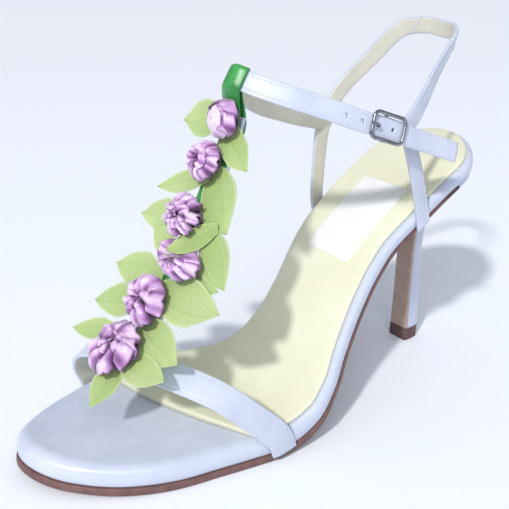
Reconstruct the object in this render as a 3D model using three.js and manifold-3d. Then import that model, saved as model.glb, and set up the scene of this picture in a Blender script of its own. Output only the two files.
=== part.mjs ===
// A high-heeled T-strap sandal for the left foot, in white satin, with ribbon flowers and leaves.
// Millimetres, +Z up. The toe points to -Y, +X is the outer side of the foot.
// The origin lies on the floor, at the middle of the flat tread under the ball of the foot.
import * as THREE from 'three';
import { mergeVertices } from 'three/addons/utils/BufferGeometryUtils.js';
import Module from 'manifold-3d';

const wasm = await Module();
wasm.setup();

// Driving dimensions of the last and the sole.
const PLAN_LENGTH = 216;
const BALL_WIDTH = 79;
const SEAT_RISE = 90;
const TOE_SPRING = 4.6;
const TOE_TAPER = 52;
const SEAT_TAPER = 29;
const BOARD_FOREFOOT = 8.2;
const BOARD_SEAT = 5.6;
const OUTSOLE_FOREFOOT = 3.1;
const OUTSOLE_WAIST = 1.2;
const EDGE_ROUND_TOE = 4.4;
const EDGE_ROUND_WAIST = 2.4;
const BOARD_TUCK = 1.3;
const OUTSOLE_INSET = 0.3;
const OUTSOLE_BEVEL = 0.7;
const SOCK_INSET = 2.9;
const SOCK_THICKNESS = 1.2;
const SOCK_SEAT = 0.45;
const SOCK_CROWN = 1.4;
const LABEL_LENGTH = 42;
const LABEL_WIDTH = 26;
const LABEL_THICKNESS = 0.4;
const GAP = 0.3;

// Driving dimensions of the heel.
const TIP_WIDTH = 10.4;
const TIP_DEPTH = 10.9;
const TIP_ACROSS = -0.8;
const LIFT_HEIGHT = 6.3;
const FLAP_THICKNESS = 1.2;
const CUP_RIM = 1.6;

// Driving dimensions of the straps.
const VAMP_WIDTH = 11;
const BAR_WIDTH = 10.5;
const ANKLE_WIDTH = 8;
const REAR_WIDTH = 7.2;
const LEG_WIDTH = 7;
const STRAP_THICKNESS = 1.8;
const STRAP_CHAMFER = 0.5;
const VAMP_HEIGHT = 27;
const COLLAR_WIDTH = 66;
const COLLAR_LENGTH = 118;
const COLLAR_HEIGHT = 45;
const BAR_SAG = 8.6;
const HOLE_DIAMETER = 1.7;
const HOLE_PITCH = 7;

// Driving dimensions of the ribbon, the buckle, the flowers and the leaves.
const RIBBON_WIDTH = 9.6;
const RIBBON_THICKNESS = 0.5;
const RIBBON_SLACK = 0.9;
const RIBBON_START = 0.08;
const RIBBON_END = 0.84;
const FRAME_LENGTH = 16;
const FRAME_WIRE = 1.4;
const STAPLE_WIRE = 1.1;
const PRONG_WIRE = 0.8;
const LEAF_THICKNESS = 0.5;
const LEAF_WIDTH = 16;
const LEAF_REACH = 30;
const LEAF_BASE = 2;
const LEAF_PITCH = 0.85;
const LEAF_CUP = 0.3;
const FLOWER_SIZE = 19.5;
const FLOWER_HEIGHT = 9;
const FLOWER_BASE = 3.95;

// How the top of the insole board runs. Along is a share of PLAN_LENGTH from the toe, rise of
// SEAT_RISE, spring of TOE_SPRING, and outer and inner are half widths as shares of BALL_WIDTH.
const LAST = [
  { along: 0, rise: 0, spring: 1, outer: 0.316, inner: 0.433 },
  { along: 0.057, rise: 0, spring: 0.46, outer: 0.375, inner: 0.438 },
  { along: 0.136, rise: 0, spring: 0.16, outer: 0.424, inner: 0.449 },
  { along: 0.255, rise: 0, spring: 0, outer: 0.474, inner: 0.496 },
  { along: 0.31, rise: 0, spring: 0, outer: 0.502, inner: 0.49 },
  { along: 0.37, rise: 0, spring: 0, outer: 0.53, inner: 0.455 },
  { along: 0.41, rise: 0.019, spring: 0, outer: 0.549, inner: 0.392 },
  { along: 0.452, rise: 0.068, spring: 0, outer: 0.559, inner: 0.284 },
  { along: 0.499, rise: 0.145, spring: 0, outer: 0.52, inner: 0.238 },
  { along: 0.539, rise: 0.24, spring: 0, outer: 0.457, inner: 0.228 },
  { along: 0.577, rise: 0.34, spring: 0, outer: 0.41, inner: 0.243 },
  { along: 0.617, rise: 0.438, spring: 0, outer: 0.37, inner: 0.284 },
  { along: 0.66, rise: 0.531, spring: 0, outer: 0.335, inner: 0.328 },
  { along: 0.703, rise: 0.62, spring: 0, outer: 0.318, inner: 0.348 },
  { along: 0.796, rise: 0.782, spring: 0, outer: 0.339, inner: 0.358 },
  { along: 0.896, rise: 0.913, spring: 0, outer: 0.34, inner: 0.358 },
  { along: 1, rise: 1, spring: 0, outer: 0.278, inner: 0.342 },
];
const TREAD_FRONT = 0.255;
const TREAD_BACK = 0.37;
const THINNING_START = 0.4;
const THINNING_END = 0.52;
const BREAST_ALONG = 0.877;

// Where the sock's front edge runs. Across is a share of the sock's half width, outer side positive.
const SOCK_FRONT = [
  { across: -1, along: 0.222 },
  { across: -0.5, along: 0.232 },
  { across: 0, along: 0.256 },
  { across: 0.45, along: 0.288 },
  { across: 1, along: 0.34 },
];
const LABEL_ALONG = 0.72;
const LABEL_ACROSS = 0.02;

// The heel's stem. Height is a share of the stem from the top lift to the seat, width and depth are
// shares of the tip's, and flare is the share of the way out to the rim of the cup under the seat.
const STEM = [
  { height: 0, width: 1, depth: 1, flare: 0 },
  { height: 0.25, width: 0.95, depth: 0.87, flare: 0 },
  { height: 0.5, width: 0.93, depth: 0.8, flare: 0 },
  { height: 0.66, width: 1.0, depth: 0.82, flare: 0.01 },
  { height: 0.78, width: 1.12, depth: 0.86, flare: 0.06 },
  { height: 0.86, width: 1.2, depth: 0.9, flare: 0.17 },
  { height: 0.92, width: 1.25, depth: 0.92, flare: 0.36 },
  { height: 0.965, width: 1.3, depth: 0.95, flare: 0.66 },
  { height: 1, width: 1.3, depth: 1, flare: 1 },
];

// The heel's section, as shares of its half width and its depth, from the breast round to the back.
const STEM_SECTION = [
  { across: 1, back: 0 },
  { across: 1.02, back: 0.28 },
  { across: 0.98, back: 0.56 },
  { across: 0.84, back: 0.8 },
  { across: 0.5, back: 0.95 },
  { across: 0, back: 1 },
];

// The vamp strap's centre line, from the outer foot over the toes to the inner foot. Across is a
// share of the way from the middle to the board's edge, along of PLAN_LENGTH, and lift of
// VAMP_HEIGHT above the board. Right, front and up give the way that the strap's face looks.
const VAMP = [
  { across: 1.04, along: 0.393, lift: -0.6, right: 1, front: 0, up: 0 },
  { across: 1.039, along: 0.389, lift: -0.304, right: 1, front: 0, up: 0 },
  { across: 1.036, along: 0.375, lift: 0.013, right: 1, front: 0, up: 0.05 },
  { across: 0.999, along: 0.333, lift: 0.385, right: 0.85, front: 0.25, up: 0.45 },
  { across: 0.828, along: 0.285, lift: 0.737, right: 0.55, front: 0.4, up: 0.73 },
  { across: 0.494, along: 0.227, lift: 0.976, right: 0.25, front: 0.55, up: 0.8 },
  { across: 0.058, along: 0.192, lift: 1.042, right: 0, front: 0.62, up: 0.78 },
  { across: -0.395, along: 0.176, lift: 0.964, right: -0.25, front: 0.58, up: 0.78 },
  { across: -0.798, along: 0.171, lift: 0.703, right: -0.6, front: 0.45, up: 0.66 },
  { across: -1.01, along: 0.178, lift: 0.335, right: -0.9, front: 0.3, up: 0.3 },
  { across: -1.025, along: 0.194, lift: -0.013, right: -0.97, front: 0.25, up: 0 },
  { across: -1.025, along: 0.199, lift: -0.293, right: -0.97, front: 0.25, up: 0 },
  { across: -1.03, along: 0.203, lift: -0.6, right: -0.97, front: 0.25, up: 0 },
];

// The collar's straps in plan and height. Across and back are shares of half of COLLAR_WIDTH and
// COLLAR_LENGTH from the collar's middle, up is a share of COLLAR_HEIGHT above the seat's back,
// and tilt is how far the face looks up, in degrees.
const COLLAR_ALONG = 0.678;
const ANKLE = [
  { across: -0.924, back: 0.314, up: 0.098, tilt: 10 },
  { across: -0.879, back: 0.178, up: 0.153, tilt: 12 },
  { across: -0.773, back: -0.059, up: 0.242, tilt: 16 },
  { across: -0.667, back: -0.28, up: 0.342, tilt: 20 },
  { across: -0.515, back: -0.512, up: 0.453, tilt: 24 },
  { across: -0.318, back: -0.754, up: 0.62, tilt: 28 },
  { across: -0.106, back: -0.919, up: 0.776, tilt: 31 },
  { across: 0.106, back: -0.983, up: 0.831, tilt: 32 },
  { across: 0.303, back: -0.907, up: 0.776, tilt: 30 },
  { across: 0.576, back: -0.758, up: 0.693, tilt: 26 },
  { across: 0.803, back: -0.546, up: 0.587, tilt: 22 },
  { across: 0.939, back: -0.356, up: 0.487, tilt: 17 },
  { across: 1.015, back: -0.163, up: 0.4, tilt: 12 },
  { across: 1.076, back: 0.025, up: 0.298, tilt: 10 },
  { across: 1.152, back: 0.229, up: 0.198, tilt: 8 },
  { across: 1.215, back: 0.372, up: 0.125, tilt: 8 },
];
const REAR = [
  { across: 0.922, back: -0.02, up: 0.335, tilt: 8 },
  { across: 0.912, back: 0.095, up: 0.395, tilt: 8 },
  { across: 0.833, back: 0.246, up: 0.542, tilt: 6 },
  { across: 0.682, back: 0.441, up: 0.731, tilt: 4 },
  { across: 0.515, back: 0.644, up: 0.876, tilt: 2 },
  { across: 0.318, back: 0.847, up: 0.987, tilt: 0 },
  { across: 0.121, back: 0.949, up: 1.02, tilt: 0 },
  { across: -0.106, back: 0.983, up: 1.031, tilt: 0 },
  { across: -0.333, back: 0.958, up: 1.053, tilt: 0 },
  { across: -0.53, back: 0.805, up: 1.02, tilt: 2 },
  { across: -0.727, back: 0.593, up: 0.731, tilt: 5 },
  { across: -0.864, back: 0.381, up: 0.442, tilt: 8 },
  { across: -0.924, back: 0.246, up: 0.164, tilt: 6 },
];
const BUCKLE_SHARE = 0.812;
const OUTER_LEG = { along: 0.773, across: 0.915, back: 0.06, up: 0.37, bow: 0.8 };
const INNER_LEG = { along: 0.727, across: -0.93, back: 0.255, up: 0.2, bow: 1.2 };

// The bar of the T, from the vamp strap to the collar's front. Rise is a share of the straight way
// between them, and sag a share of BAR_SAG, towards the instep.
const BAR = [
  { rise: 0.0, sag: 0.0 },
  { rise: 0.0465, sag: 0.3 },
  { rise: 0.15, sag: 0.51 },
  { rise: 0.407, sag: 0.88 },
  { rise: 0.653, sag: 1 },
  { rise: 0.825, sag: 0.99 },
  { rise: 0.89, sag: 0.88 },
];

// The flowers from the top down. Rise is a share of the bar's length from its foot, across of
// LEAF_REACH, width and length of FLOWER_SIZE, notch is how deep the outline is cut between petals,
// and turn is the first petal's place in degrees.
const FLOWERS = [
  { rise: 0.975, across: 0.06, width: 0.8, length: 0.8, petals: 4, notch: 0.05, turn: 20 },
  { rise: 0.805, across: -0.03, width: 0.8, length: 0.79, petals: 5, notch: 0.16, turn: 0 },
  { rise: 0.585, across: -0.02, width: 1.05, length: 0.8, petals: 7, notch: 0.2, turn: 10 },
  { rise: 0.432, across: 0.25, width: 1.3, length: 0.72, petals: 6, notch: 0.16, turn: 40 },
  { rise: 0.235, across: 0, width: 1.08, length: 0.92, petals: 5, notch: 0.2, turn: 5 },
  { rise: 0.004, across: -0.02, width: 1.2, length: 1.2, petals: 8, notch: 0.15, turn: 30 },
];

// A flower's folded cushion from its underside over the rim to its hub, as shares of its half size
// and of FLOWER_HEIGHT.
const FLOWER_RINGS = [
  { reach: 0.4, height: 0, fold: 0 },
  { reach: 0.95, height: 0.3, fold: 0.3 },
  { reach: 1, height: 0.42, fold: 0.6 },
  { reach: 0.84, height: 0.72, fold: 1 },
  { reach: 0.56, height: 0.94, fold: 0.8 },
  { reach: 0.28, height: 1, fold: 0.4 },
  { reach: 0.12, height: 0.86, fold: 0 },
];

// The leaves from the top down. Rise and tipRise are shares of the bar's length from its foot,
// across and tipAcross of LEAF_REACH, width of LEAF_WIDTH, and lift is the tip's rise in leaf layers.
// Over is the number of the flower that the leaf lies on, if any.
const LEAVES = [
  { rise: 0.985, across: -0.157, tipRise: 0.915, tipAcross: -0.958, width: 0.94, layer: 0, lift: 0, over: 0 },
  { rise: 0.955, across: -0.118, tipRise: 0.825, tipAcross: 0.657, width: 0.81, layer: 1, lift: 0, over: 0 },
  { rise: 0.757, across: 0.011, tipRise: 0.630, tipAcross: -0.920, width: 0.56, layer: 1, lift: 1, over: 0 },
  { rise: 0.776, across: 0.018, tipRise: 0.590, tipAcross: 0.678, width: 1.31, layer: 0, lift: 0, over: 0 },
  { rise: 0.568, across: -0.307, tipRise: 0.507, tipAcross: -1.118, width: 0.81, layer: 0, lift: 0, over: 0 },
  { rise: 0.602, across: 0.578, tipRise: 0.433, tipAcross: -0.063, width: 0.59, layer: 2, lift: 3, over: 4 },
  { rise: 0.429, across: -0.005, tipRise: 0.478, tipAcross: -0.710, width: 0.63, layer: 1, lift: 0, over: 0 },
  { rise: 0.568, across: 0.375, tipRise: 0.422, tipAcross: 1.116, width: 1.00, layer: 1, lift: 0, over: 0 },
  { rise: 0.393, across: -0.049, tipRise: 0.406, tipAcross: 0.996, width: 0.88, layer: 0, lift: 0, over: 0 },
  { rise: 0.320, across: -0.093, tipRise: 0.274, tipAcross: -1.159, width: 1.00, layer: 0, lift: 0, over: 0 },
  { rise: 0.217, across: -0.208, tipRise: 0.091, tipAcross: -1.217, width: 0.88, layer: 1, lift: 0, over: 0 },
  { rise: 0.050, across: -0.443, tipRise: -0.064, tipAcross: -1.221, width: 0.63, layer: 0, lift: 0, over: 0 },
  { rise: 0.279, across: -0.028, tipRise: 0.340, tipAcross: 1.228, width: 1.13, layer: 1, lift: 0.6, over: 0 },
  { rise: 0.126, across: -0.076, tipRise: 0.104, tipAcross: 0.913, width: 1.06, layer: 0, lift: 0, over: 0 },
  { rise: -0.017, across: 0.103, tipRise: 0.020, tipAcross: 0.928, width: 0.81, layer: 1, lift: 0, over: 0 },
  { rise: -0.028, across: 0.008, tipRise: -0.225, tipAcross: 0.225, width: 0.88, layer: 0, lift: 0, over: 0 },
];

// A leaf's half width from its base to its tip.
const LEAF_OUTLINE = [
  { at: 0, width: 0.3 },
  { at: 0.2, width: 0.78 },
  { at: 0.42, width: 1 },
  { at: 0.64, width: 0.94 },
  { at: 0.82, width: 0.66 },
  { at: 0.94, width: 0.32 },
  { at: 1, width: 0.06 },
];

// Small maths helpers.
const clamp01 = (value) => Math.min(1, Math.max(0, value));
const mix = (a, b, share) => a + (b - a) * share;
const smooth = (value) => {
  const t = clamp01(value);
  return t * t * (3 - 2 * t);
};
const vec = (x, y, z) => new THREE.Vector3(x, y, z);
const radians = THREE.MathUtils.degToRad;

// A smooth curve through a table's column that never overshoots between two rows.
function column(rows, from, to) {
  const x = rows.map((row) => row[from]);
  const y = rows.map((row) => row[to]);
  const count = x.length;
  const slopes = [];
  for (let i = 0; i < count - 1; i += 1) slopes.push((y[i + 1] - y[i]) / (x[i + 1] - x[i]));
  const tangents = [slopes[0]];
  for (let i = 1; i < count - 1; i += 1) {
    const turns = slopes[i - 1] * slopes[i] <= 0;
    tangents.push(turns ? 0 : (2 * slopes[i - 1] * slopes[i]) / (slopes[i - 1] + slopes[i]));
  }
  tangents.push(slopes[count - 2]);
  return (value) => {
    let i = 0;
    while (i < count - 2 && value > x[i + 1]) i += 1;
    const step = x[i + 1] - x[i];
    const t = (value - x[i]) / step;
    const t2 = t * t;
    const t3 = t2 * t;
    return y[i] * (2 * t3 - 3 * t2 + 1) + tangents[i] * step * (t3 - 2 * t2 + t)
      + y[i + 1] * (3 * t2 - 2 * t3) + tangents[i + 1] * step * (t3 - t2);
  };
}

// The centre line of the board's top, sampled finely, and its lookups by length along the curve.
const RISE = column(LAST, 'along', 'rise');
const SPRING = column(LAST, 'along', 'spring');
const OUTER = column(LAST, 'along', 'outer');
const INNER = column(LAST, 'along', 'inner');
const TOP_LEVEL = OUTSOLE_FOREFOOT + GAP + BOARD_FOREFOOT;
const ORIGIN_ALONG = (TREAD_FRONT + TREAD_BACK) / 2;
const SAMPLES = 600;
const topHeight = (along) => TOP_LEVEL + RISE(along) * SEAT_RISE + SPRING(along) * TOE_SPRING;
const planY = (along) => (along - ORIGIN_ALONG) * PLAN_LENGTH;

function centreLine() {
  const points = [];
  let length = 0;
  for (let i = 0; i <= SAMPLES; i += 1) {
    const along = i / SAMPLES;
    const y = planY(along);
    const z = topHeight(along);
    if (i > 0) length += Math.hypot(y - points[i - 1].y, z - points[i - 1].z);
    points.push({ along, y, z, length });
  }
  return points;
}
const LINE = centreLine();
const ARC_LENGTH = LINE[SAMPLES].length;

function lookUp(key, value) {
  let low = 0;
  let high = SAMPLES;
  while (high - low > 1) {
    const middle = (low + high) >> 1;
    if (LINE[middle][key] <= value) low = middle;
    else high = middle;
  }
  const a = LINE[low];
  const b = LINE[high];
  const share = (value - a[key]) / (b[key] - a[key]);
  const step = Math.hypot(b.y - a.y, b.z - a.z);
  return {
    along: mix(a.along, b.along, share),
    length: mix(a.length, b.length, share),
    y: mix(a.y, b.y, share),
    z: mix(a.z, b.z, share),
    ty: (b.y - a.y) / step,
    tz: (b.z - a.z) / step,
  };
}
const atLength = (length) => lookUp('length', length);
const atAlong = (along) => lookUp('along', along);

// A point from its place across, its length along the curve and its height off the board's top.
function place(across, length, height) {
  const at = atLength(length);
  return vec(across, at.y - height * at.tz, at.z + height * at.ty);
}

// Half widths with the round toe and seat, all moved inwards by an inset.
function roundEnds(length, inset) {
  const toe = clamp01(1 - (length - inset) / (TOE_TAPER - inset));
  const seat = clamp01(1 - (ARC_LENGTH - inset - length) / (SEAT_TAPER - inset));
  return Math.sqrt(1 - toe * toe) * Math.sqrt(1 - seat * seat);
}
function edges(length, inset = 0) {
  const { along } = atLength(length);
  const outer = OUTER(along) * BALL_WIDTH;
  const inner = -INNER(along) * BALL_WIDTH;
  const centre = (outer + inner) / 2;
  const half = ((outer - inner) / 2 - inset) * roundEnds(length, inset);
  return { centre, half, outer: centre + half, inner: centre - half };
}
const thinning = (length) => {
  const { along } = atLength(length);
  return smooth((along - THINNING_START) / (THINNING_END - THINNING_START));
};
const boardThickness = (length) => mix(BOARD_FOREFOOT, BOARD_SEAT, thinning(length));
const outsoleThickness = (length) => mix(OUTSOLE_FOREFOOT, OUTSOLE_WAIST, thinning(length));
const edgeRound = (length) => mix(EDGE_ROUND_TOE, EDGE_ROUND_WAIST, thinning(length));
const underside = (length) => -boardThickness(length) - GAP;

// A closed body from points and faces: coincident points are merged and the faces point out.
const MERGE = 1e-4;
function body(points, faces) {
  const flat = points.flatMap((point) => [point.x, point.y, point.z]);
  const rough = new THREE.BufferGeometry();
  rough.setAttribute('position', new THREE.Float32BufferAttribute(flat, 3));
  rough.setIndex(faces.flat());
  const geometry = mergeVertices(rough, MERGE);
  const position = geometry.attributes.position;
  const index = geometry.index.array;
  const corners = [vec(0, 0, 0), vec(0, 0, 0), vec(0, 0, 0)];
  const kept = [];
  let volume = 0;
  for (let i = 0; i < index.length; i += 3) {
    const [a, b, c] = [index[i], index[i + 1], index[i + 2]];
    if (a !== b && b !== c && a !== c) {
      kept.push([a, b, c]);
      [a, b, c].forEach((corner, k) => corners[k].fromBufferAttribute(position, corner));
      volume += corners[0].dot(corners[1].cross(corners[2]));
    }
  }
  geometry.setIndex(kept.flatMap(([a, b, c]) => (volume < 0 ? [a, c, b] : [a, b, c])));
  return geometry;
}

// Joins and cuts of closed bodies.
function toSolid(geometry) {
  const bare = geometry.clone();
  bare.deleteAttribute('normal');
  bare.deleteAttribute('uv');
  const merged = mergeVertices(bare, MERGE);
  const vertProperties = new Float32Array(merged.attributes.position.array);
  const triVerts = new Uint32Array(merged.index.array);
  return new wasm.Manifold(new wasm.Mesh({ numProp: 3, vertProperties, triVerts }));
}
function fromSolid(solid) {
  const mesh = solid.getMesh();
  const geometry = new THREE.BufferGeometry();
  geometry.setAttribute('position', new THREE.Float32BufferAttribute(mesh.vertProperties, 3));
  geometry.setIndex(Array.from(mesh.triVerts));
  return geometry;
}

// The sole's outline as a closed ring of places across and along: from the toe down the outer side
// to the seat's back, then up the inner side.
const SOLE_ROWS = 34;
const EASED = 0.75;
function outline() {
  const lengths = [];
  for (let i = 0; i <= SOLE_ROWS; i += 1) {
    const even = i / SOLE_ROWS;
    const eased = (1 - Math.cos(Math.PI * even)) / 2;
    lengths.push(ARC_LENGTH * mix(even, eased, EASED));
  }
  const outer = lengths.map((length) => [edges(length).outer, length]);
  const inner = lengths.map((length) => [edges(length).inner, length]);
  return [...outer, ...inner.slice(1, -1).reverse()];
}

// A flat ring moved inwards by a distance that may change along its length.
function insetRing(ring, distance) {
  const count = ring.length;
  return ring.map(([x, s], i) => {
    const before = ring[(i + count - 1) % count];
    const after = ring[(i + 1) % count];
    const dx = after[0] - before[0];
    const ds = after[1] - before[1];
    const size = Math.hypot(dx, ds);
    const inset = distance(Math.min(ARC_LENGTH, Math.max(0, s)));
    return [x - (ds / size) * inset, s + (dx / size) * inset];
  });
}

// Rings of equal count joined one to the next and closed by a lid over the first and the last.
// A lid's rungs join each point of one side to its partner on the other side.
function stack(rings, columns) {
  const points = rings.flat();
  const count = rings[0].length;
  const faces = [];
  for (let r = 0; r < rings.length - 1; r += 1) {
    for (let i = 0; i < count; i += 1) {
      const a = r * count + i;
      const b = r * count + ((i + 1) % count);
      faces.push([a, b, b + count], [a, b + count, a + count]);
    }
  }
  const lid = (offset, outward) => {
    const rungs = [];
    for (let i = 0, j = count % 2 ? count - 1 : count; i <= j; i += 1, j -= 1) {
      const first = offset + i;
      const last = offset + (j % count);
      const rung = [first];
      for (let k = 1; k < columns; k += 1) {
        points.push(points[first].clone().lerp(points[last], k / columns));
        rung.push(points.length - 1);
      }
      rungs.push([...rung, last]);
    }
    for (let r = 0; r < rungs.length - 1; r += 1) {
      for (let k = 0; k < columns; k += 1) {
        const quad = [rungs[r][k], rungs[r + 1][k], rungs[r + 1][k + 1], rungs[r][k + 1]];
        if (!outward) quad.reverse();
        faces.push([quad[0], quad[1], quad[2]], [quad[0], quad[2], quad[3]]);
      }
    }
  };
  lid(0, false);
  lid((rings.length - 1) * count, true);
  return body(points, faces);
}

// A layer of the sole from its levels, each with an inset and a height by length.
function layer(levels) {
  const ring = outline();
  const rings = levels.map(({ inset, height }) => insetRing(ring, inset).map(([x, s]) => {
    const on = Math.min(ARC_LENGTH, Math.max(0, s));
    const at = atLength(on);
    const beyond = s - on;
    return place(x, on, height(on)).add(vec(0, at.ty * beyond, at.tz * beyond));
  }));
  return stack(rings, 2);
}

// A thin body between an upper and a lower surface, each a function of row and column shares.
function sheet(rows, columns, upper, lower) {
  const points = [];
  const faces = [];
  const across = columns.length;
  const node = (side, i, j) => side * rows.length * across + i * across + j;
  for (const surface of [upper, lower]) {
    for (const row of rows) for (const share of columns) points.push(surface(row, share));
  }
  const quad = (a, b, c, d) => faces.push([a, b, c], [a, c, d]);
  for (let i = 0; i < rows.length - 1; i += 1) {
    for (let j = 0; j < across - 1; j += 1) {
      quad(node(0, i, j), node(0, i + 1, j), node(0, i + 1, j + 1), node(0, i, j + 1));
      quad(node(1, i, j), node(1, i, j + 1), node(1, i + 1, j + 1), node(1, i + 1, j));
    }
    const end = across - 1;
    quad(node(0, i, 0), node(1, i, 0), node(1, i + 1, 0), node(0, i + 1, 0));
    quad(node(0, i, end), node(0, i + 1, end), node(1, i + 1, end), node(1, i, end));
  }
  const last = rows.length - 1;
  for (let j = 0; j < across - 1; j += 1) {
    quad(node(0, 0, j), node(0, 0, j + 1), node(1, 0, j + 1), node(1, 0, j));
    quad(node(0, last, j), node(1, last, j), node(1, last, j + 1), node(0, last, j + 1));
  }
  return body(points, faces);
}
const shares = (count) => Array.from({ length: count + 1 }, (_, i) => i / count);

// The satin insole board, with its upper edge rounded over. grown makes the cutter for what it meets.
const ROUND_STEPS = [0, 35, 65, 90];
function boardGeometry(grown = 0) {
  return layer([
    { inset: () => BOARD_TUCK - grown, height: (s) => -boardThickness(s) - grown },
    { inset: () => -grown, height: (s) => -(boardThickness(s) + edgeRound(s)) / 2 },
    ...ROUND_STEPS.map((degrees) => {
      const angle = radians(degrees);
      return {
        inset: (s) => edgeRound(s) * (1 - Math.cos(angle)) - grown * Math.cos(angle),
        height: (s) => -edgeRound(s) * (1 - Math.sin(angle)) + grown * Math.sin(angle),
      };
    }),
  ]);
}

// The heel's places: the breast's front, and the stem behind the flap that covers it.
const BREAST_Y = planY(BREAST_ALONG);
const STEM_FRONT = BREAST_Y + FLAP_THICKNESS + GAP;
const STEM_DEPTH = TIP_DEPTH - FLAP_THICKNESS - GAP;
const STEM_FOOT = LIFT_HEIGHT + GAP;

// The length along the curve at which the board's underside stands over a place in plan.
function lengthUnder(y) {
  let s = lookUp('y', y).length;
  for (let i = 0; i < 8; i += 1) s += y - place(0, s, underside(s)).y;
  return s;
}
const undersideZ = (y) => {
  const s = lengthUnder(y);
  return place(0, s, underside(s)).z;
};

// The rim of the heel's cup: the seat's outline from the breast round, under the board.
function seatRim() {
  const breast = lengthUnder(STEM_FRONT);
  const half = STEM_SECTION.length - 1;
  const outer = [];
  const inner = [];
  for (let i = 0; i <= half; i += 1) {
    const s = mix(breast, ARC_LENGTH - BOARD_TUCK, Math.sin(((i / half) * Math.PI) / 2));
    const edge = edges(s, BOARD_TUCK);
    outer.push(place(edge.outer, s, underside(s)));
    inner.push(place(edge.inner, s, underside(s)));
  }
  return [...outer, ...inner.slice(0, -1).reverse()];
}
function heelGeometry() {
  const rim = seatRim();
  const half = STEM_SECTION.length - 1;
  const breastTop = rim[0].z;
  const rings = STEM.map((row) => rim.map((top, i) => {
    const side = i <= half ? 1 : -1;
    const section = STEM_SECTION[i <= half ? i : rim.length - 1 - i];
    const stemX = TIP_ACROSS + (side * section.across * row.width * TIP_WIDTH) / 2;
    const stemY = STEM_FRONT + section.back * row.depth * STEM_DEPTH;
    const reach = mix(breastTop, top.z, row.flare) - CUP_RIM;
    return vec(
      mix(stemX, top.x, row.flare),
      mix(stemY, top.y, row.flare),
      mix(STEM_FOOT, reach, row.height),
    );
  }));
  return stack([...rings, rim], 1);
}

// The outsole ends at the heel's breast and runs down it as a flap that stands on the top lift.
function flapGeometry() {
  const rim = edges(lengthUnder(BREAST_Y));
  const reach = undersideZ(BREAST_Y) - CUP_RIM;
  const levels = STEM.filter((row) => row.height < 1).map((row) => ({
    outer: mix(TIP_ACROSS + (row.width * TIP_WIDTH) / 2, rim.outer, row.flare),
    inner: mix(TIP_ACROSS - (row.width * TIP_WIDTH) / 2, rim.inner, row.flare),
    z: mix(STEM_FOOT, reach, row.height),
  }));
  const last = levels[levels.length - 1];
  levels.push({ outer: last.outer, inner: last.inner, z: undersideZ(BREAST_Y) - OUTSOLE_WAIST / 2 });
  return stack(levels.map(({ outer, inner, z }) => [
    vec(outer, BREAST_Y, z), vec(outer, BREAST_Y + FLAP_THICKNESS, z),
    vec(inner, BREAST_Y + FLAP_THICKNESS, z), vec(inner, BREAST_Y, z),
  ]), 1);
}
function outsoleGeometry() {
  const bottom = (s) => underside(s) - outsoleThickness(s);
  const slab = layer([
    { inset: () => OUTSOLE_INSET + OUTSOLE_BEVEL, height: bottom },
    { inset: () => OUTSOLE_INSET, height: (s) => bottom(s) + OUTSOLE_BEVEL },
    { inset: () => OUTSOLE_INSET, height: underside },
  ]);
  const behind = new THREE.BoxGeometry(2 * BALL_WIDTH, PLAN_LENGTH, 4 * SEAT_RISE);
  behind.translate(0, BREAST_Y + FLAP_THICKNESS + PLAN_LENGTH / 2, 0);
  return fromSolid(toSolid(slab).subtract(toSolid(behind)).add(toSolid(flapGeometry())));
}
function topLiftGeometry() {
  const half = STEM_SECTION.length - 1;
  const count = 2 * half + 1;
  const ringAt = (z) => Array.from({ length: count }, (_, i) => {
    const side = i <= half ? 1 : -1;
    const { across, back } = STEM_SECTION[i <= half ? i : count - 1 - i];
    return vec(TIP_ACROSS + (side * across * TIP_WIDTH) / 2, BREAST_Y + back * TIP_DEPTH, z);
  });
  return stack([ringAt(0), ringAt(LIFT_HEIGHT)], 1);
}

// The padded sock on the board, and the blank label on the sock.
const SOCK_FRONT_AT = column(SOCK_FRONT, 'across', 'along');
const SOCK_EDGE = 0.55;
const SOCK_COLUMNS = [-1, -0.93, -0.5, 0, 0.5, 0.93, 1];
const sockCrown = (length, across) => {
  const { half } = edges(length, SOCK_INSET);
  return SOCK_CROWN * smooth(half / (BALL_WIDTH / 4)) * (1 - across * across);
};
function sockGeometry() {
  const end = ARC_LENGTH - SOCK_INSET;
  const lengthAt = (row, across) => mix(atAlong(SOCK_FRONT_AT(across)).length, end, row);
  const surface = (height) => (row, across) => {
    const s = lengthAt(row, across);
    const { centre, half } = edges(s, SOCK_INSET);
    return place(centre + across * half, s, height(s, row, across));
  };
  const rows = shares(32).map((share) => mix(share, Math.sin((share * Math.PI) / 2), 0.6));
  const topOf = (s, row, across) => {
    const rim = Math.abs(across) === 1 || row === 0 || row === 1;
    return SOCK_SEAT + SOCK_THICKNESS * (rim ? SOCK_EDGE : 1) + sockCrown(s, across);
  };
  return sheet(rows, SOCK_COLUMNS, surface(topOf), surface(() => SOCK_SEAT));
}
function labelGeometry() {
  const middle = atAlong(LABEL_ALONG).length;
  const surface = (height) => (row, across) => {
    const s = middle + (row - 0.5) * LABEL_LENGTH;
    const x = LABEL_ACROSS * BALL_WIDTH + (across * LABEL_WIDTH) / 2;
    const { centre, half } = edges(s, SOCK_INSET);
    return place(x, s, SOCK_SEAT + SOCK_THICKNESS + GAP + sockCrown(s, (x - centre) / half) + height);
  };
  return sheet(shares(7), [-1, -0.5, 0, 0.5, 1], surface(LABEL_THICKNESS), surface(0));
}

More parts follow.
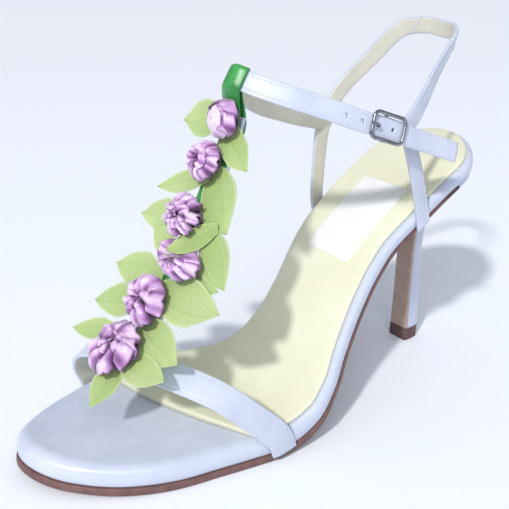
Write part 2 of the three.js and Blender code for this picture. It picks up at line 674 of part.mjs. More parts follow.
// A strap swept along a smooth line of stations, each with a point and the way its face looks.
function strapPath(stations) {
  const line = new THREE.CatmullRomCurve3(stations.map(({ point }) => point), false, 'centripetal');
  const faces = new THREE.CatmullRomCurve3(stations.map(({ face }) => face), false, 'centripetal');
  line.arcLengthDivisions = 400;
  return (share) => {
    const t = line.getUtoTmapping(share);
    const point = line.getPoint(t);
    const tangent = line.getTangent(t);
    const face = faces.getPoint(t);
    face.addScaledVector(tangent, -face.dot(tangent)).normalize();
    const across = tangent.clone().cross(face);
    return { point, tangent, face, across, length: line.getLength() };
  };
}
function loft(frames, section) {
  const points = frames.flatMap(({ point, face, across }) => section.map(([a, h]) => (
    point.clone().addScaledVector(across, a).addScaledVector(face, h)
  )));
  const count = section.length;
  const end = (frames.length - 1) * count;
  const faces = [];
  for (let r = 0; r < end; r += count) {
    for (let i = 0; i < count; i += 1) {
      const a = r + i;
      const b = r + ((i + 1) % count);
      faces.push([a, b, b + count], [a, b + count, a + count]);
    }
  }
  for (let i = 1; i < count - 1; i += 1) {
    faces.push([0, i + 1, i], [end, end + i, end + i + 1]);
  }
  return body(points, faces);
}
const sweep = (path, steps, section) => loft(shares(steps).map(path), section);
function strapSection(width, thickness = STRAP_THICKNESS) {
  const w = width / 2;
  const h = thickness / 2;
  const c = Math.min(STRAP_CHAMFER, 0.7 * h);
  return [[w - c, h], [w, h - c], [w, c - h], [w - c, -h], [c - w, -h], [-w, c - h], [-w, h - c], [c - w, h]];
}

// Places on the collar and over the board, and the straps that run through them.
const SEAT_LEVEL = topHeight(1);
function collarStation({ across, back, up, tilt }) {
  const x = (across * COLLAR_WIDTH) / 2;
  const y = (back * COLLAR_LENGTH) / 2;
  const out = vec(x / COLLAR_WIDTH, y / COLLAR_LENGTH, 0).normalize();
  const face = out.multiplyScalar(Math.cos(radians(tilt))).setZ(Math.sin(radians(tilt)));
  return { point: vec(x, planY(COLLAR_ALONG) + y, SEAT_LEVEL + up * COLLAR_HEIGHT), face };
}
function vampStation({ across, along, lift, right, front, up }) {
  const at = atAlong(along);
  const { outer, inner } = edges(at.length);
  const x = across * (across > 0 ? outer : -inner);
  return { point: vec(x, at.y, at.z + lift * VAMP_HEIGHT), face: vec(right, -front, up) };
}
const vampPath = strapPath(VAMP.map(vampStation));
const anklePath = strapPath(ANKLE.map(collarStation));

// A leg rises from the board's side to the collar with a slight outward bow.
const LEG_SHARES = [0, 0.3, 0.65, 1];
function legPath(leg) {
  const side = Math.sign(leg.across);
  const at = atAlong(leg.along);
  const edge = side > 0 ? edges(at.length).outer : edges(at.length).inner;
  const foot = vec(edge + (side * STRAP_THICKNESS) / 2, at.y, at.z);
  const { point: top, face } = collarStation({ ...leg, tilt: 4 });
  const stations = LEG_SHARES.map((share) => ({
    point: foot.clone().lerp(top, share).add(vec(side * leg.bow * Math.sin(Math.PI * share), 0, 0)),
    face: vec(side, 0, 0).lerp(face, share),
  }));
  const below = foot.clone().setZ(foot.z - 2 * BOARD_SEAT).setY(foot.y + BOARD_SEAT / 2);
  return strapPath([{ point: below, face: vec(side, 0, 0) }, ...stations]);
}

// What the straps' feet are cut by: the board with its clearance, and all below the board.
const FEET_ROOM = 14;
function feetCutter() {
  const below = layer([
    { inset: () => -FEET_ROOM, height: (s) => underside(s) - FEET_ROOM },
    { inset: () => -FEET_ROOM, height: underside },
  ]);
  return toSolid(boardGeometry(GAP)).add(toSolid(below));
}
const FEET = feetCutter();

// The bar of the T in the middle plane, and its frame for the flowers and the leaves.
const BAR_FOOT = vampStation(VAMP.reduce((a, b) => (a.lift > b.lift ? a : b))).point;
const BAR_HEAD = collarStation(ANKLE.reduce((a, b) => (a.up > b.up ? a : b))).point;
function barStations() {
  const way = BAR_HEAD.clone().sub(BAR_FOOT);
  const length = way.length();
  way.normalize();
  const out = vec(0, -way.z, way.y).normalize();
  return BAR.map(({ rise, sag }) => ({
    point: BAR_FOOT.clone().addScaledVector(way, rise * length).addScaledVector(out, -sag * BAR_SAG),
    face: out,
  }));
}
const barPath = strapPath(barStations());
const BAR_LENGTH = barPath(0).length;

function upperGeometry() {
  const vamp = toSolid(sweep(vampPath, 26, strapSection(VAMP_WIDTH)));
  const bar = toSolid(sweep(barPath, 16, strapSection(BAR_WIDTH)));
  return fromSolid(vamp.add(bar).subtract(FEET));
}

// The prong's line in the strap's middle, from its loop round the staple to its tip over the frame.
// Along and height are shares of FRAME_LENGTH.
const PRONG = [
  { along: 0.078, height: -0.119 },
  { along: 0.056, height: -0.181 },
  { along: 0, height: -0.2 },
  { along: -0.06, height: -0.181 },
  { along: -0.163, height: -0.148 },
  { along: -0.225, height: -0.1 },
  { along: -0.246, height: -0.031 },
  { along: -0.25, height: 0.056 },
  { along: -0.272, height: 0.144 },
  { along: -0.337, height: 0.203 },
  { along: -0.437, height: 0.219 },
  { along: -0.52, height: 0.2 },
];

// The buckle's frame of axes on the ankle strap.
const BUCKLE = anklePath(BUCKLE_SHARE);
const atBuckle = (along, across, height) => BUCKLE.point.clone()
  .addScaledVector(BUCKLE.tangent, along)
  .addScaledVector(BUCKLE.across, across)
  .addScaledVector(BUCKLE.face, height);
const STAPLE_DROP = STRAP_THICKNESS / 2 + GAP + STAPLE_WIRE / 2;
const FRAME_LIFT = STRAP_THICKNESS / 2 + GAP + FRAME_WIRE / 2;
const FRAME_HALF = ANKLE_WIDTH / 2 + GAP + STAPLE_WIRE / 2;
const FRAME_CORNER = 2.2;

// The straps round the ankle: the rear strap with both legs, joined to the ankle strap's inner end.
function holeCutter(shareAlong) {
  const at = anklePath(shareAlong);
  const cutter = new THREE.CylinderGeometry(HOLE_DIAMETER / 2, HOLE_DIAMETER / 2, 4 * STRAP_THICKNESS, 8);
  cutter.applyQuaternion(new THREE.Quaternion().setFromUnitVectors(vec(0, 1, 0), at.face));
  cutter.translate(at.point.x, at.point.y, at.point.z);
  return toSolid(cutter);
}
const PRONG_HOLE = FRAME_LENGTH / 4;
const TAB_START = 2.1;
const LAYER_GAP = 0.4;
function collarGeometry() {
  const hinge = {
    point: atBuckle(TAB_START, 0, -STRAP_THICKNESS - LAYER_GAP),
    face: BUCKLE.face,
  };
  const bend = {
    point: atBuckle(2 * TAB_START, 0, -STRAP_THICKNESS - 2 * LAYER_GAP),
    face: BUCKLE.face,
  };
  const rear = strapPath([hinge, bend, ...REAR.map(collarStation)]);
  const legs = [OUTER_LEG, INNER_LEG].map((leg) => toSolid(sweep(legPath(leg), 9, strapSection(LEG_WIDTH))));
  let straps = toSolid(sweep(rear, 32, strapSection(REAR_WIDTH)));
  for (const leg of legs) straps = straps.add(leg.subtract(FEET));
  let ankle = toSolid(sweep(anklePath, 36, strapSection(ANKLE_WIDTH)));
  for (const turn of [-2, -1, 0, 1]) {
    const along = -PRONG_HOLE + turn * HOLE_PITCH;
    ankle = ankle.subtract(holeCutter(BUCKLE_SHARE + along / BUCKLE.length));
  }
  return fromSolid(straps.add(ankle));
}

// The green ribbon lies on the bar, loops over the ankle strap and comes down behind it.
function shareWhereAcross(path, x) {
  let low = 0;
  let high = 1;
  for (let i = 0; i < 30; i += 1) {
    const middle = (low + high) / 2;
    if (path(middle).point.x < x) low = middle;
    else high = middle;
  }
  return low;
}
const LOOP_TURNS = [90, 60, 30, 0, -30, -60, -90];
const RIBBON_COLUMNS = [-1, -0.5, 0, 0.5, 1];
function ribbonGeometry() {
  const lift = STRAP_THICKNESS / 2 + GAP + RIBBON_THICKNESS / 2;
  const middle = shareWhereAcross(anklePath, BAR_HEAD.x);
  const reach = RIBBON_WIDTH / 2;
  const onStrap = (height, out, turn) => (column) => {
    const at = anklePath(middle + (column * reach) / BUCKLE.length);
    const up = at.across.negate();
    const face = at.face.clone().multiplyScalar(Math.sin(turn)).addScaledVector(up, Math.cos(turn));
    return { point: at.point.addScaledVector(up, height).addScaledVector(at.face, out), face };
  };
  const onBar = (share, side) => (column) => {
    const { point, face, across } = barPath(share);
    point.addScaledVector(face, side * lift).addScaledVector(across, column * reach);
    return { point, face: face.multiplyScalar(side) };
  };
  const low = -ANKLE_WIDTH / 2;
  const high = ANKLE_WIDTH / 2 + GAP + RIBBON_THICKNESS / 2 - lift;
  const behind = lift + RIBBON_SLACK;
  const rows = [
    ...shares(14).map((share) => onBar(mix(RIBBON_START, 1, share), 1)),
    onStrap(low, lift, Math.PI / 2),
    ...LOOP_TURNS.map(radians).map((turn) => (
      onStrap(high + lift * Math.cos(turn), (turn > 0 ? lift : behind) * Math.sin(turn), turn)
    )),
    onStrap(low, -behind, -Math.PI / 2),
    ...shares(3).map((share) => onBar(mix(1, RIBBON_END, share), -1)),
  ];
  const surface = (side) => (row, column) => {
    const { point, face } = row(column);
    return point.addScaledVector(face, (side * RIBBON_THICKNESS) / 2);
  };
  return sheet(rows, RIBBON_COLUMNS, surface(1), surface(-1));
}

// A place over the front bar, from its distance up the bar, across it and off its middle. Below
// the bar's foot and above its head the surface runs straight on.
function barAt(along, across, height) {
  const on = Math.min(BAR_LENGTH, Math.max(0, along));
  const frame = barPath(on / BAR_LENGTH);
  return frame.point.addScaledVector(frame.tangent, along - on)
    .addScaledVector(frame.across, across).addScaledVector(frame.face, height);
}

// The buckle: a flat frame with a staple under the strap, and the prong through a hole.
const TUBE_SIDES = 8;
function tube(points, normal, wire, closed) {
  const count = points.length;
  const section = Array.from({ length: TUBE_SIDES }, (_, i) => {
    const turn = (i / TUBE_SIDES) * 2 * Math.PI;
    return [(Math.cos(turn) * wire) / 2, (Math.sin(turn) * wire) / 2];
  });
  const frames = points.map((point, i) => {
    const before = points[closed ? (i + count - 1) % count : Math.max(0, i - 1)];
    const after = points[closed ? (i + 1) % count : Math.min(count - 1, i + 1)];
    const across = after.clone().sub(before).cross(normal).normalize();
    return { point, face: normal, across };
  });
  if (!closed) return loft(frames, section);
  const half = count / 2;
  const first = loft(frames.slice(0, half + 1), section);
  const second = loft([...frames.slice(half), frames[0]], section);
  return fromSolid(toSolid(first).add(toSolid(second)));
}
function roundedPath(corners, radius, closed) {
  const points = [];
  corners.forEach((corner, i) => {
    const count = corners.length;
    if (!closed && (i === 0 || i === count - 1)) {
      points.push(corner);
      return;
    }
    const before = corners[(i + count - 1) % count].clone().sub(corner).normalize();
    const after = corners[(i + 1) % count].clone().sub(corner).normalize();
    const centre = corner.clone().addScaledVector(before, radius).addScaledVector(after, radius);
    for (const share of shares(4)) {
      const turn = (share * Math.PI) / 2;
      points.push(centre.clone().addScaledVector(after, -radius * Math.cos(turn))
        .addScaledVector(before, -radius * Math.sin(turn)));
    }
  });
  return points;
}
function buckleGeometry() {
  const long = (FRAME_LENGTH - FRAME_WIRE) / 2;
  const corners = [[1, 1], [-1, 1], [-1, -1], [1, -1]].map(([a, b]) => (
    atBuckle(a * long, b * FRAME_HALF, FRAME_LIFT)
  ));
  const rails = tube(roundedPath(corners, FRAME_CORNER, true), BUCKLE.face, FRAME_WIRE, true);
  const staple = [[1, FRAME_LIFT], [1, -STAPLE_DROP], [-1, -STAPLE_DROP], [-1, FRAME_LIFT]];
  const legs = staple.map(([b, height]) => atBuckle(0, b * FRAME_HALF, height));
  const bar = tube(roundedPath(legs, STAPLE_WIRE, false), BUCKLE.tangent, STAPLE_WIRE, false);
  return fromSolid(toSolid(rails).add(toSolid(bar)));
}
function prongGeometry() {
  const line = new THREE.CatmullRomCurve3(PRONG.map(({ along, height }) => (
    atBuckle(along * FRAME_LENGTH, 0, height * FRAME_LENGTH)
  )), false, 'centripetal');
  return tube(line.getSpacedPoints(18), BUCKLE.across, PRONG_WIRE, false);
}

// A leaf: a thin cupped sheet over the bar, in a layer of its own.
const LEAF_WIDTH_AT = column(LEAF_OUTLINE, 'at', 'width');
const LEAF_COLUMNS = [-1, -0.5, 0, 0.5, 1];
function leafGeometry(leaf, grown = 0, over = LEAF_THICKNESS) {
  const start = new THREE.Vector2(leaf.across * LEAF_REACH, leaf.rise * BAR_LENGTH);
  const end = new THREE.Vector2(leaf.tipAcross * LEAF_REACH, leaf.tipRise * BAR_LENGTH);
  const side = end.clone().sub(start).normalize().rotateAround(new THREE.Vector2(0, 0), Math.PI / 2);
  const longer = (2 * grown) / start.distanceTo(end);
  const surface = (offset) => (row, column) => {
    const half = (LEAF_WIDTH_AT(row) * leaf.width * LEAF_WIDTH) / 2 + grown;
    const at = start.clone().lerp(end, row * (1 + 2 * longer) - longer).addScaledVector(side, half * column);
    const cup = LEAF_CUP * column * column * LEAF_WIDTH_AT(row);
    const height = LEAF_BASE + (leaf.layer + leaf.lift * row * row) * LEAF_PITCH + cup + offset;
    return barAt(at.y, at.x, height);
  };
  return sheet(shares(7), LEAF_COLUMNS, surface(over), surface(-grown));
}

// A flower: a folded ribbon cushion whose outline and top follow its petals.
const FLOWER_SECTORS = 30;
const FLOWER_FOLD = 0.7;
function flowerGeometry(flower, number) {
  const rings = FLOWER_RINGS.map(({ reach, height, fold }) => (
    Array.from({ length: FLOWER_SECTORS }, (_, i) => {
      const turn = (i / FLOWER_SECTORS) * 2 * Math.PI;
      const wave = Math.cos(flower.petals * (turn - radians(flower.turn)));
      const out = (reach * (1 - flower.notch * (0.5 - 0.5 * wave) * Math.min(1, 2 * fold)) * FLOWER_SIZE) / 2;
      return barAt(
        flower.rise * BAR_LENGTH + Math.sin(turn) * out * flower.length,
        flower.across * LEAF_REACH + Math.cos(turn) * out * flower.width,
        FLOWER_BASE + height * FLOWER_HEIGHT + fold * wave * FLOWER_FOLD,
      );
    })
  ));
  const covers = LEAVES.filter(({ over }) => over === number)
    .map((leaf) => toSolid(leafGeometry(leaf, GAP, 2 * FLOWER_HEIGHT)));
  return fromSolid(covers.reduce((solid, leaf) => solid.subtract(leaf), toSolid(stack(rings, 1))));
}

// Satin, leather and metal finishes.
const finish = (color, roughness, metalness = 0) => new THREE.MeshStandardMaterial({
  color, roughness, metalness,
});
const SATIN = finish('#e4e7f4', 0.4);
const SOCK = finish('#efeccf', 0.7);
const LABEL = finish('#f7f7f5', 0.6);
const OUTSOLE = finish('#73504f', 0.6);
const LIFT = finish('#5d4545', 0.6);
const RIBBON = finish('#2f8f45', 0.35);
const BUCKLE_METAL = finish('#8d9096', 0.25, 1);
const LILAC = finish('#b892cf', 0.35);
const LEAF = finish('#a8d078', 0.6);
const group = new THREE.Group();
function add(name, geometry, material) {
  const mesh = new THREE.Mesh(geometry, material);
  mesh.name = name;
  group.add(mesh);
}

add('outsole', outsoleGeometry(), OUTSOLE);
add('insole_board', boardGeometry(), SATIN);
add('sock', sockGeometry(), SOCK);
add('sock_label', labelGeometry(), LABEL);
add('heel', heelGeometry(), SATIN);
add('top_lift', topLiftGeometry(), LIFT);
add('vamp_strap', upperGeometry(), SATIN);
add('collar_straps', collarGeometry(), SATIN);
add('green_ribbon', ribbonGeometry(), RIBBON);
add('buckle_frame', buckleGeometry(), BUCKLE_METAL);
add('buckle_prong', prongGeometry(), BUCKLE_METAL);
FLOWERS.forEach((flower, i) => add(`flower_${i + 1}`, flowerGeometry(flower, i + 1), LILAC));
LEAVES.forEach((leaf, i) => add(`leaf_${i + 1}`, leafGeometry(leaf), LEAF));

export default group;
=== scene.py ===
# Dresses the packed sandal: smooth satin, stitched straps, ribbon flowers and organza leaves.
# Sizes are in millimetres, as in the solids, and become metres when a mesh is made.
import math
import random

import bmesh
import bpy
import numpy as np
from mathutils import Matrix, Vector, noise


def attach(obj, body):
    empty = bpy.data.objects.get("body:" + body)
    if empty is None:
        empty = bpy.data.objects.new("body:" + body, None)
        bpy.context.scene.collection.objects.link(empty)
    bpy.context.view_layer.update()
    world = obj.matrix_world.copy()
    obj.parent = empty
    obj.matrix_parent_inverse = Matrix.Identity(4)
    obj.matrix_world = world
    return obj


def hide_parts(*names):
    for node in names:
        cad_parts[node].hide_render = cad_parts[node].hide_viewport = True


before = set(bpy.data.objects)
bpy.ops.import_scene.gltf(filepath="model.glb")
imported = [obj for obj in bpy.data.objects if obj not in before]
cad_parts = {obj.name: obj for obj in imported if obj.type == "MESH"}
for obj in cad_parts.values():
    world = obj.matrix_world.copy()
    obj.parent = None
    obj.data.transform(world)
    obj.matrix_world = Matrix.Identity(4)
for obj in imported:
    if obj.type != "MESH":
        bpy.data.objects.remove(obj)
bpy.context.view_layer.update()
MM = 0.001

# Sizes of the last, the sole, the heel, the straps and the trimming, as in the solids.
PLAN_LENGTH = 216.0
BALL_WIDTH = 79.0
SEAT_RISE = 90.0
TOE_SPRING = 4.6
TOE_TAPER = 52.0
SEAT_TAPER = 29.0
BOARD_FOREFOOT = 8.2
BOARD_SEAT = 5.6
OUTSOLE_FOREFOOT = 3.1
OUTSOLE_WAIST = 1.2
EDGE_ROUND_TOE = 4.4
EDGE_ROUND_WAIST = 2.4
BOARD_TUCK = 1.3
OUTSOLE_INSET = 0.3
SOCK_INSET = 2.9
SOCK_THICKNESS = 1.2
SOCK_SEAT = 0.45
SOCK_CROWN = 1.4
LABEL_LENGTH = 42.0
LABEL_WIDTH = 26.0
GAP = 0.3
TIP_WIDTH = 10.4
TIP_DEPTH = 10.9
TIP_ACROSS = -0.8
LIFT_HEIGHT = 6.3
FLAP_THICKNESS = 1.2
CUP_RIM = 1.6
VAMP_WIDTH = 11.0
BAR_WIDTH = 10.5
ANKLE_WIDTH = 8.0
REAR_WIDTH = 7.2
LEG_WIDTH = 7.0
STRAP_THICKNESS = 1.8
VAMP_HEIGHT = 27.0
COLLAR_WIDTH = 66.0
COLLAR_LENGTH = 118.0
COLLAR_HEIGHT = 45.0
BAR_SAG = 8.6
HOLE_DIAMETER = 1.7
HOLE_PITCH = 7.0
RIBBON_WIDTH = 9.6
RIBBON_THICKNESS = 0.5
RIBBON_SLACK = 0.9
FRAME_LENGTH = 16.0
FRAME_WIRE = 1.4
STAPLE_WIRE = 1.1
PRONG_WIRE = 0.8
LEAF_THICKNESS = 0.5
LEAF_WIDTH = 16.0
LEAF_REACH = 30.0
LEAF_BASE = 2.0
LEAF_PITCH = 0.85
LEAF_CUP = 0.3
FLOWER_SIZE = 19.5
FLOWER_BASE = 3.95
ORIGIN_ALONG = 0.3125
THINNING_START = 0.4
THINNING_END = 0.52
BREAST_ALONG = 0.877
LABEL_ALONG = 0.72
LABEL_ACROSS = 0.02
COLLAR_ALONG = 0.678
BUCKLE_SHARE = 0.812

# Tables, as in the solids: columns are named in each comment.
# along, rise, spring, outer, inner
LAST = [
    (0, 0, 1, 0.316, 0.433),
    (0.057, 0, 0.46, 0.375, 0.438),
    (0.136, 0, 0.16, 0.424, 0.449),
    (0.255, 0, 0, 0.474, 0.496),
    (0.31, 0, 0, 0.502, 0.49),
    (0.37, 0, 0, 0.53, 0.455),
    (0.41, 0.019, 0, 0.549, 0.392),
    (0.452, 0.068, 0, 0.559, 0.284),
    (0.499, 0.145, 0, 0.52, 0.238),
    (0.539, 0.24, 0, 0.457, 0.228),
    (0.577, 0.34, 0, 0.41, 0.243),
    (0.617, 0.438, 0, 0.37, 0.284),
    (0.66, 0.531, 0, 0.335, 0.328),
    (0.703, 0.62, 0, 0.318, 0.348),
    (0.796, 0.782, 0, 0.339, 0.358),
    (0.896, 0.913, 0, 0.34, 0.358),
    (1, 1, 0, 0.278, 0.342),
]
# across, along
SOCK_FRONT = [(-1, 0.222), (-0.5, 0.232), (0, 0.256), (0.45, 0.288), (1, 0.34)]
# height, width, depth, flare
STEM = [
    (0, 1, 1, 0),
    (0.25, 0.95, 0.87, 0),
    (0.5, 0.93, 0.8, 0),
    (0.66, 1.0, 0.82, 0.01),
    (0.78, 1.12, 0.86, 0.06),
    (0.86, 1.2, 0.9, 0.17),
    (0.92, 1.25, 0.92, 0.36),
    (0.965, 1.3, 0.95, 0.66),
    (1, 1.3, 1, 1),
]
# across, back
STEM_SECTION = [(1, 0), (1.02, 0.28), (0.98, 0.56), (0.84, 0.8), (0.5, 0.95), (0, 1)]
# across, along, lift, right, front, up. The feet stand a little closer than in the solids.
VAMP = [
    (1.018, 0.393, -0.6, 1, 0, 0),
    (1.018, 0.389, -0.304, 1, 0, 0),
    (1.026, 0.375, 0.013, 1, 0, 0.05),
    (0.999, 0.333, 0.385, 0.85, 0.25, 0.45),
    (0.828, 0.285, 0.737, 0.55, 0.4, 0.73),
    (0.494, 0.227, 0.976, 0.25, 0.55, 0.8),
    (0.058, 0.192, 1.042, 0, 0.62, 0.78),
    (-0.395, 0.176, 0.964, -0.25, 0.58, 0.78),
    (-0.798, 0.171, 0.703, -0.6, 0.45, 0.66),
    (-1.01, 0.178, 0.335, -0.9, 0.3, 0.3),
    (-1.02, 0.194, -0.013, -0.97, 0.25, 0),
    (-1.018, 0.199, -0.293, -0.97, 0.25, 0),
    (-1.018, 0.203, -0.6, -0.97, 0.25, 0),
]
VAMP_TOP = 6
# across, back, up, tilt
ANKLE = [
    (-0.924, 0.314, 0.098, 10),
    (-0.879, 0.178, 0.153, 12),
    (-0.773, -0.059, 0.242, 16),
    (-0.667, -0.28, 0.342, 20),
    (-0.515, -0.512, 0.453, 24),
    (-0.318, -0.754, 0.62, 28),
    (-0.106, -0.919, 0.776, 31),
    (0.106, -0.983, 0.831, 32),
    (0.303, -0.907, 0.776, 30),
    (0.576, -0.758, 0.693, 26),
    (0.803, -0.546, 0.587, 22),
    (0.939, -0.356, 0.487, 17),
    (1.015, -0.163, 0.4, 12),
    (1.076, 0.025, 0.298, 10),
    (1.152, 0.229, 0.198, 8),
    (1.215, 0.372, 0.125, 8),
]
ANKLE_TOP = 7
REAR = [
    (0.922, -0.02, 0.335, 8),
    (0.912, 0.095, 0.395, 8),
    (0.833, 0.246, 0.542, 6),
    (0.682, 0.441, 0.731, 4),
    (0.515, 0.644, 0.876, 2),
    (0.318, 0.847, 0.987, 0),
    (0.121, 0.949, 1.02, 0),
    (-0.106, 0.983, 1.031, 0),
    (-0.333, 0.958, 1.053, 0),
    (-0.53, 0.805, 1.02, 2),
    (-0.727, 0.593, 0.731, 5),
    (-0.864, 0.381, 0.442, 8),
    (-0.924, 0.246, 0.164, 6),
]
# along, across, back, up, bow
OUTER_LEG = (0.773, 0.915, 0.06, 0.37, 0.8)
INNER_LEG = (0.727, -0.93, 0.255, 0.2, 1.2)
# rise, sag
BAR = [(0, 0), (0.0465, 0.3), (0.15, 0.51), (0.407, 0.88), (0.653, 1), (0.825, 0.99), (0.89, 0.88)]
# rise, across, tip rise, tip across, width, layer, lift
LEAVES = [
    (0.985, -0.157, 0.915, -0.958, 0.94, 0, 0),
    (0.955, -0.118, 0.825, 0.657, 0.81, 1, 0),
    (0.757, 0.011, 0.630, -0.920, 0.56, 1, 1),
    (0.776, 0.018, 0.590, 0.678, 1.31, 0, 0),
    (0.568, -0.307, 0.507, -1.118, 0.81, 0, 0),
    (0.602, 0.578, 0.433, -0.063, 0.59, 2, 3),
    (0.429, -0.005, 0.478, -0.710, 0.63, 1, 0),
    (0.568, 0.375, 0.422, 1.116, 1.00, 1, 0),
    (0.393, -0.049, 0.406, 0.996, 0.88, 0, 0),
    (0.320, -0.093, 0.274, -1.159, 1.00, 0, 0),
    (0.217, -0.208, 0.091, -1.217, 0.88, 1, 0),
    (0.050, -0.443, -0.064, -1.221, 0.63, 0, 0),
    (0.279, -0.028, 0.340, 1.228, 1.13, 1, 0.6),
    (0.126, -0.076, 0.104, 0.913, 1.06, 0, 0),
    (-0.017, 0.103, 0.020, 0.928, 0.81, 1, 0),
    (-0.028, 0.008, -0.225, 0.225, 0.88, 0, 0),
]
# at, width
LEAF_OUTLINE = [(0, 0.42), (0.2, 0.78), (0.42, 1), (0.62, 0.9), (0.8, 0.6), (0.92, 0.26), (1, 0.02)]
LEAF_WIDEST = 0.42
# rise, across, width, length
FLOWERS = [
    (0.975, 0.06, 0.8, 0.8),
    (0.805, -0.03, 0.8, 0.79),
    (0.585, -0.02, 1.05, 0.8),
    (0.432, 0.25, 1.3, 0.72),
    (0.235, 0, 1.08, 0.92),
    (0.004, -0.02, 1.2, 1.2),
]


def clamp01(v):
    return min(1.0, max(0.0, v))


def mix(a, b, t):
    return a + (b - a) * t


def smooth(v):
    t = clamp01(v)
    return t * t * (3 - 2 * t)


def bell(v, reach):
    return math.exp(-((v / reach) ** 2))


def spread(n, a=0.0, b=1.0):
    return [mix(a, b, i / n) for i in range(n + 1)]


def column(rows, key):
    """One column of a table as a smooth function of the first, with no overshoot."""
    x = [row[0] for row in rows]
    y = [row[key] for row in rows]
    n = len(x)
    slopes = [(y[i + 1] - y[i]) / (x[i + 1] - x[i]) for i in range(n - 1)]
    tangents = [slopes[0]]
    for before, after in zip(slopes, slopes[1:]):
        product = before * after
        tangents.append(0.0 if product <= 0 else 2 * product / (before + after))
    tangents.append(slopes[-1])

    def at(value):
        i = 0
        while i < n - 2 and value > x[i + 1]:
            i += 1
        step = x[i + 1] - x[i]
        t = (value - x[i]) / step
        t2 = t * t
        t3 = t2 * t
        return (
            y[i] * (2 * t3 - 3 * t2 + 1)
            + tangents[i] * step * (t3 - 2 * t2 + t)
            + y[i + 1] * (3 * t2 - 2 * t3)
            + tangents[i + 1] * step * (t3 - t2)
        )

    return at


# The centre line of the board's top and its lookups.
RISE, SPRING, OUTER, INNER = (column(LAST, k) for k in (1, 2, 3, 4))
TOP_LEVEL = OUTSOLE_FOREFOOT + GAP + BOARD_FOREFOOT
SAMPLES = 600
SMOOTHED = 9


def top_height(along):
    return TOP_LEVEL + RISE(along) * SEAT_RISE + SPRING(along) * TOE_SPRING


def plan_y(along):
    return (along - ORIGIN_ALONG) * PLAN_LENGTH


def smoothed_slope(values, lengths):
    """The slope along the line, averaged over a few samples, so that fine meshes show no facets."""
    padded = np.pad(np.gradient(values, lengths), SMOOTHED // 2, mode="edge")
    return np.convolve(padded, np.ones(SMOOTHED) / SMOOTHED, mode="valid")


L_ALONG = np.linspace(0, 1, SAMPLES + 1)
L_Y = np.array([plan_y(a) for a in L_ALONG])
L_Z = np.array([top_height(a) for a in L_ALONG])
L_S = np.concatenate([[0], np.cumsum(np.hypot(np.diff(L_Y), np.diff(L_Z)))])
ARC_LENGTH = float(L_S[-1])
SLOPE_Y = smoothed_slope(L_Y, L_S)
SLOPE_Z = smoothed_slope(L_Z, L_S)
L_TY = SLOPE_Y / np.hypot(SLOPE_Y, SLOPE_Z)
L_TZ = SLOPE_Z / np.hypot(SLOPE_Y, SLOPE_Z)


def on_line(s):
    return min(ARC_LENGTH, max(0.0, s))


def line_at(s):
    """Share along, y, z and direction at the length s."""
    return tuple(float(np.interp(on_line(s), L_S, values)) for values in (L_ALONG, L_Y, L_Z, L_TY, L_TZ))


def length_at(along):
    return float(np.interp(along, L_ALONG, L_S))


def place(x, s, h):
    _, y, z, ty, tz = line_at(s)
    beyond = s - on_line(s)
    return Vector((x, y - h * tz + beyond * ty, z + h * ty + beyond * tz))


def round_ends(s, inset):
    toe = clamp01(1 - (s - inset) / (TOE_TAPER - inset))
    seat = clamp01(1 - (ARC_LENGTH - inset - s) / (SEAT_TAPER - inset))
    return math.sqrt(1 - toe * toe) * math.sqrt(1 - seat * seat)


def edges(s, inset=0.0):
    """The outline's middle and half width at the length s."""
    along = line_at(s)[0]
    outer = OUTER(along) * BALL_WIDTH
    inner = -INNER(along) * BALL_WIDTH
    return (outer + inner) / 2, ((outer - inner) / 2 - inset) * round_ends(s, inset)


def thinning(s):
    return smooth((line_at(s)[0] - THINNING_START) / (THINNING_END - THINNING_START))


def board_thickness(s):
    return mix(BOARD_FOREFOOT, BOARD_SEAT, thinning(s))


def edge_round(s):
    return mix(EDGE_ROUND_TOE, EDGE_ROUND_WAIST, thinning(s))


def underside(s):
    return -board_thickness(s) - GAP


def length_under(y):
    """The length at which the board's underside passes y."""
    s = float(np.interp(y, L_Y, L_S))
    for _ in range(8):
        s += y - place(0, s, underside(s)).y
    return s


# Meshes from grids, with UVs, smooth shading and a named material.
WELD = 1e-6
UV_SCALE = 0.01


def make(name, verts, faces, materials, face_slots=None, uvs=None, attrs=None):
    mesh = bpy.data.meshes.new(name)
    mesh.from_pydata([tuple(c * MM for c in v) for v in verts], [], faces)
    for m in materials:
        mesh.materials.append(m)
    if face_slots is not None:
        mesh.polygons.foreach_set("material_index", face_slots)
    if uvs is not None:
        flat_uv = []
        for loop in mesh.loops:
            flat_uv.extend(uvs[loop.vertex_index])
        mesh.uv_layers.new(name="UVMap").data.foreach_set("uv", flat_uv)
    for key, values in (attrs or {}).items():
        mesh.attributes.new(key, "FLOAT", "POINT").data.foreach_set("value", values)
    mesh.polygons.foreach_set("use_smooth", [True] * len(mesh.polygons))
    mesh.update()
    obj = bpy.data.objects.new(name, mesh)
    bpy.context.scene.collection.objects.link(obj)
    return obj


def reshape(obj, work=None):
    """Turns the mesh's faces outwards, after any other work on it."""
    bm = bmesh.new()
    bm.from_mesh(obj.data)
    if work:
        work(bm)
    bmesh.ops.recalc_face_normals(bm, faces=bm.faces)
    bm.to_mesh(obj.data)
    bm.free()


def make_welded(*parts, **extras):
    obj = make(*parts, **extras)
    reshape(obj, lambda bm: bmesh.ops.remove_doubles(bm, verts=bm.verts, dist=WELD))
    return obj


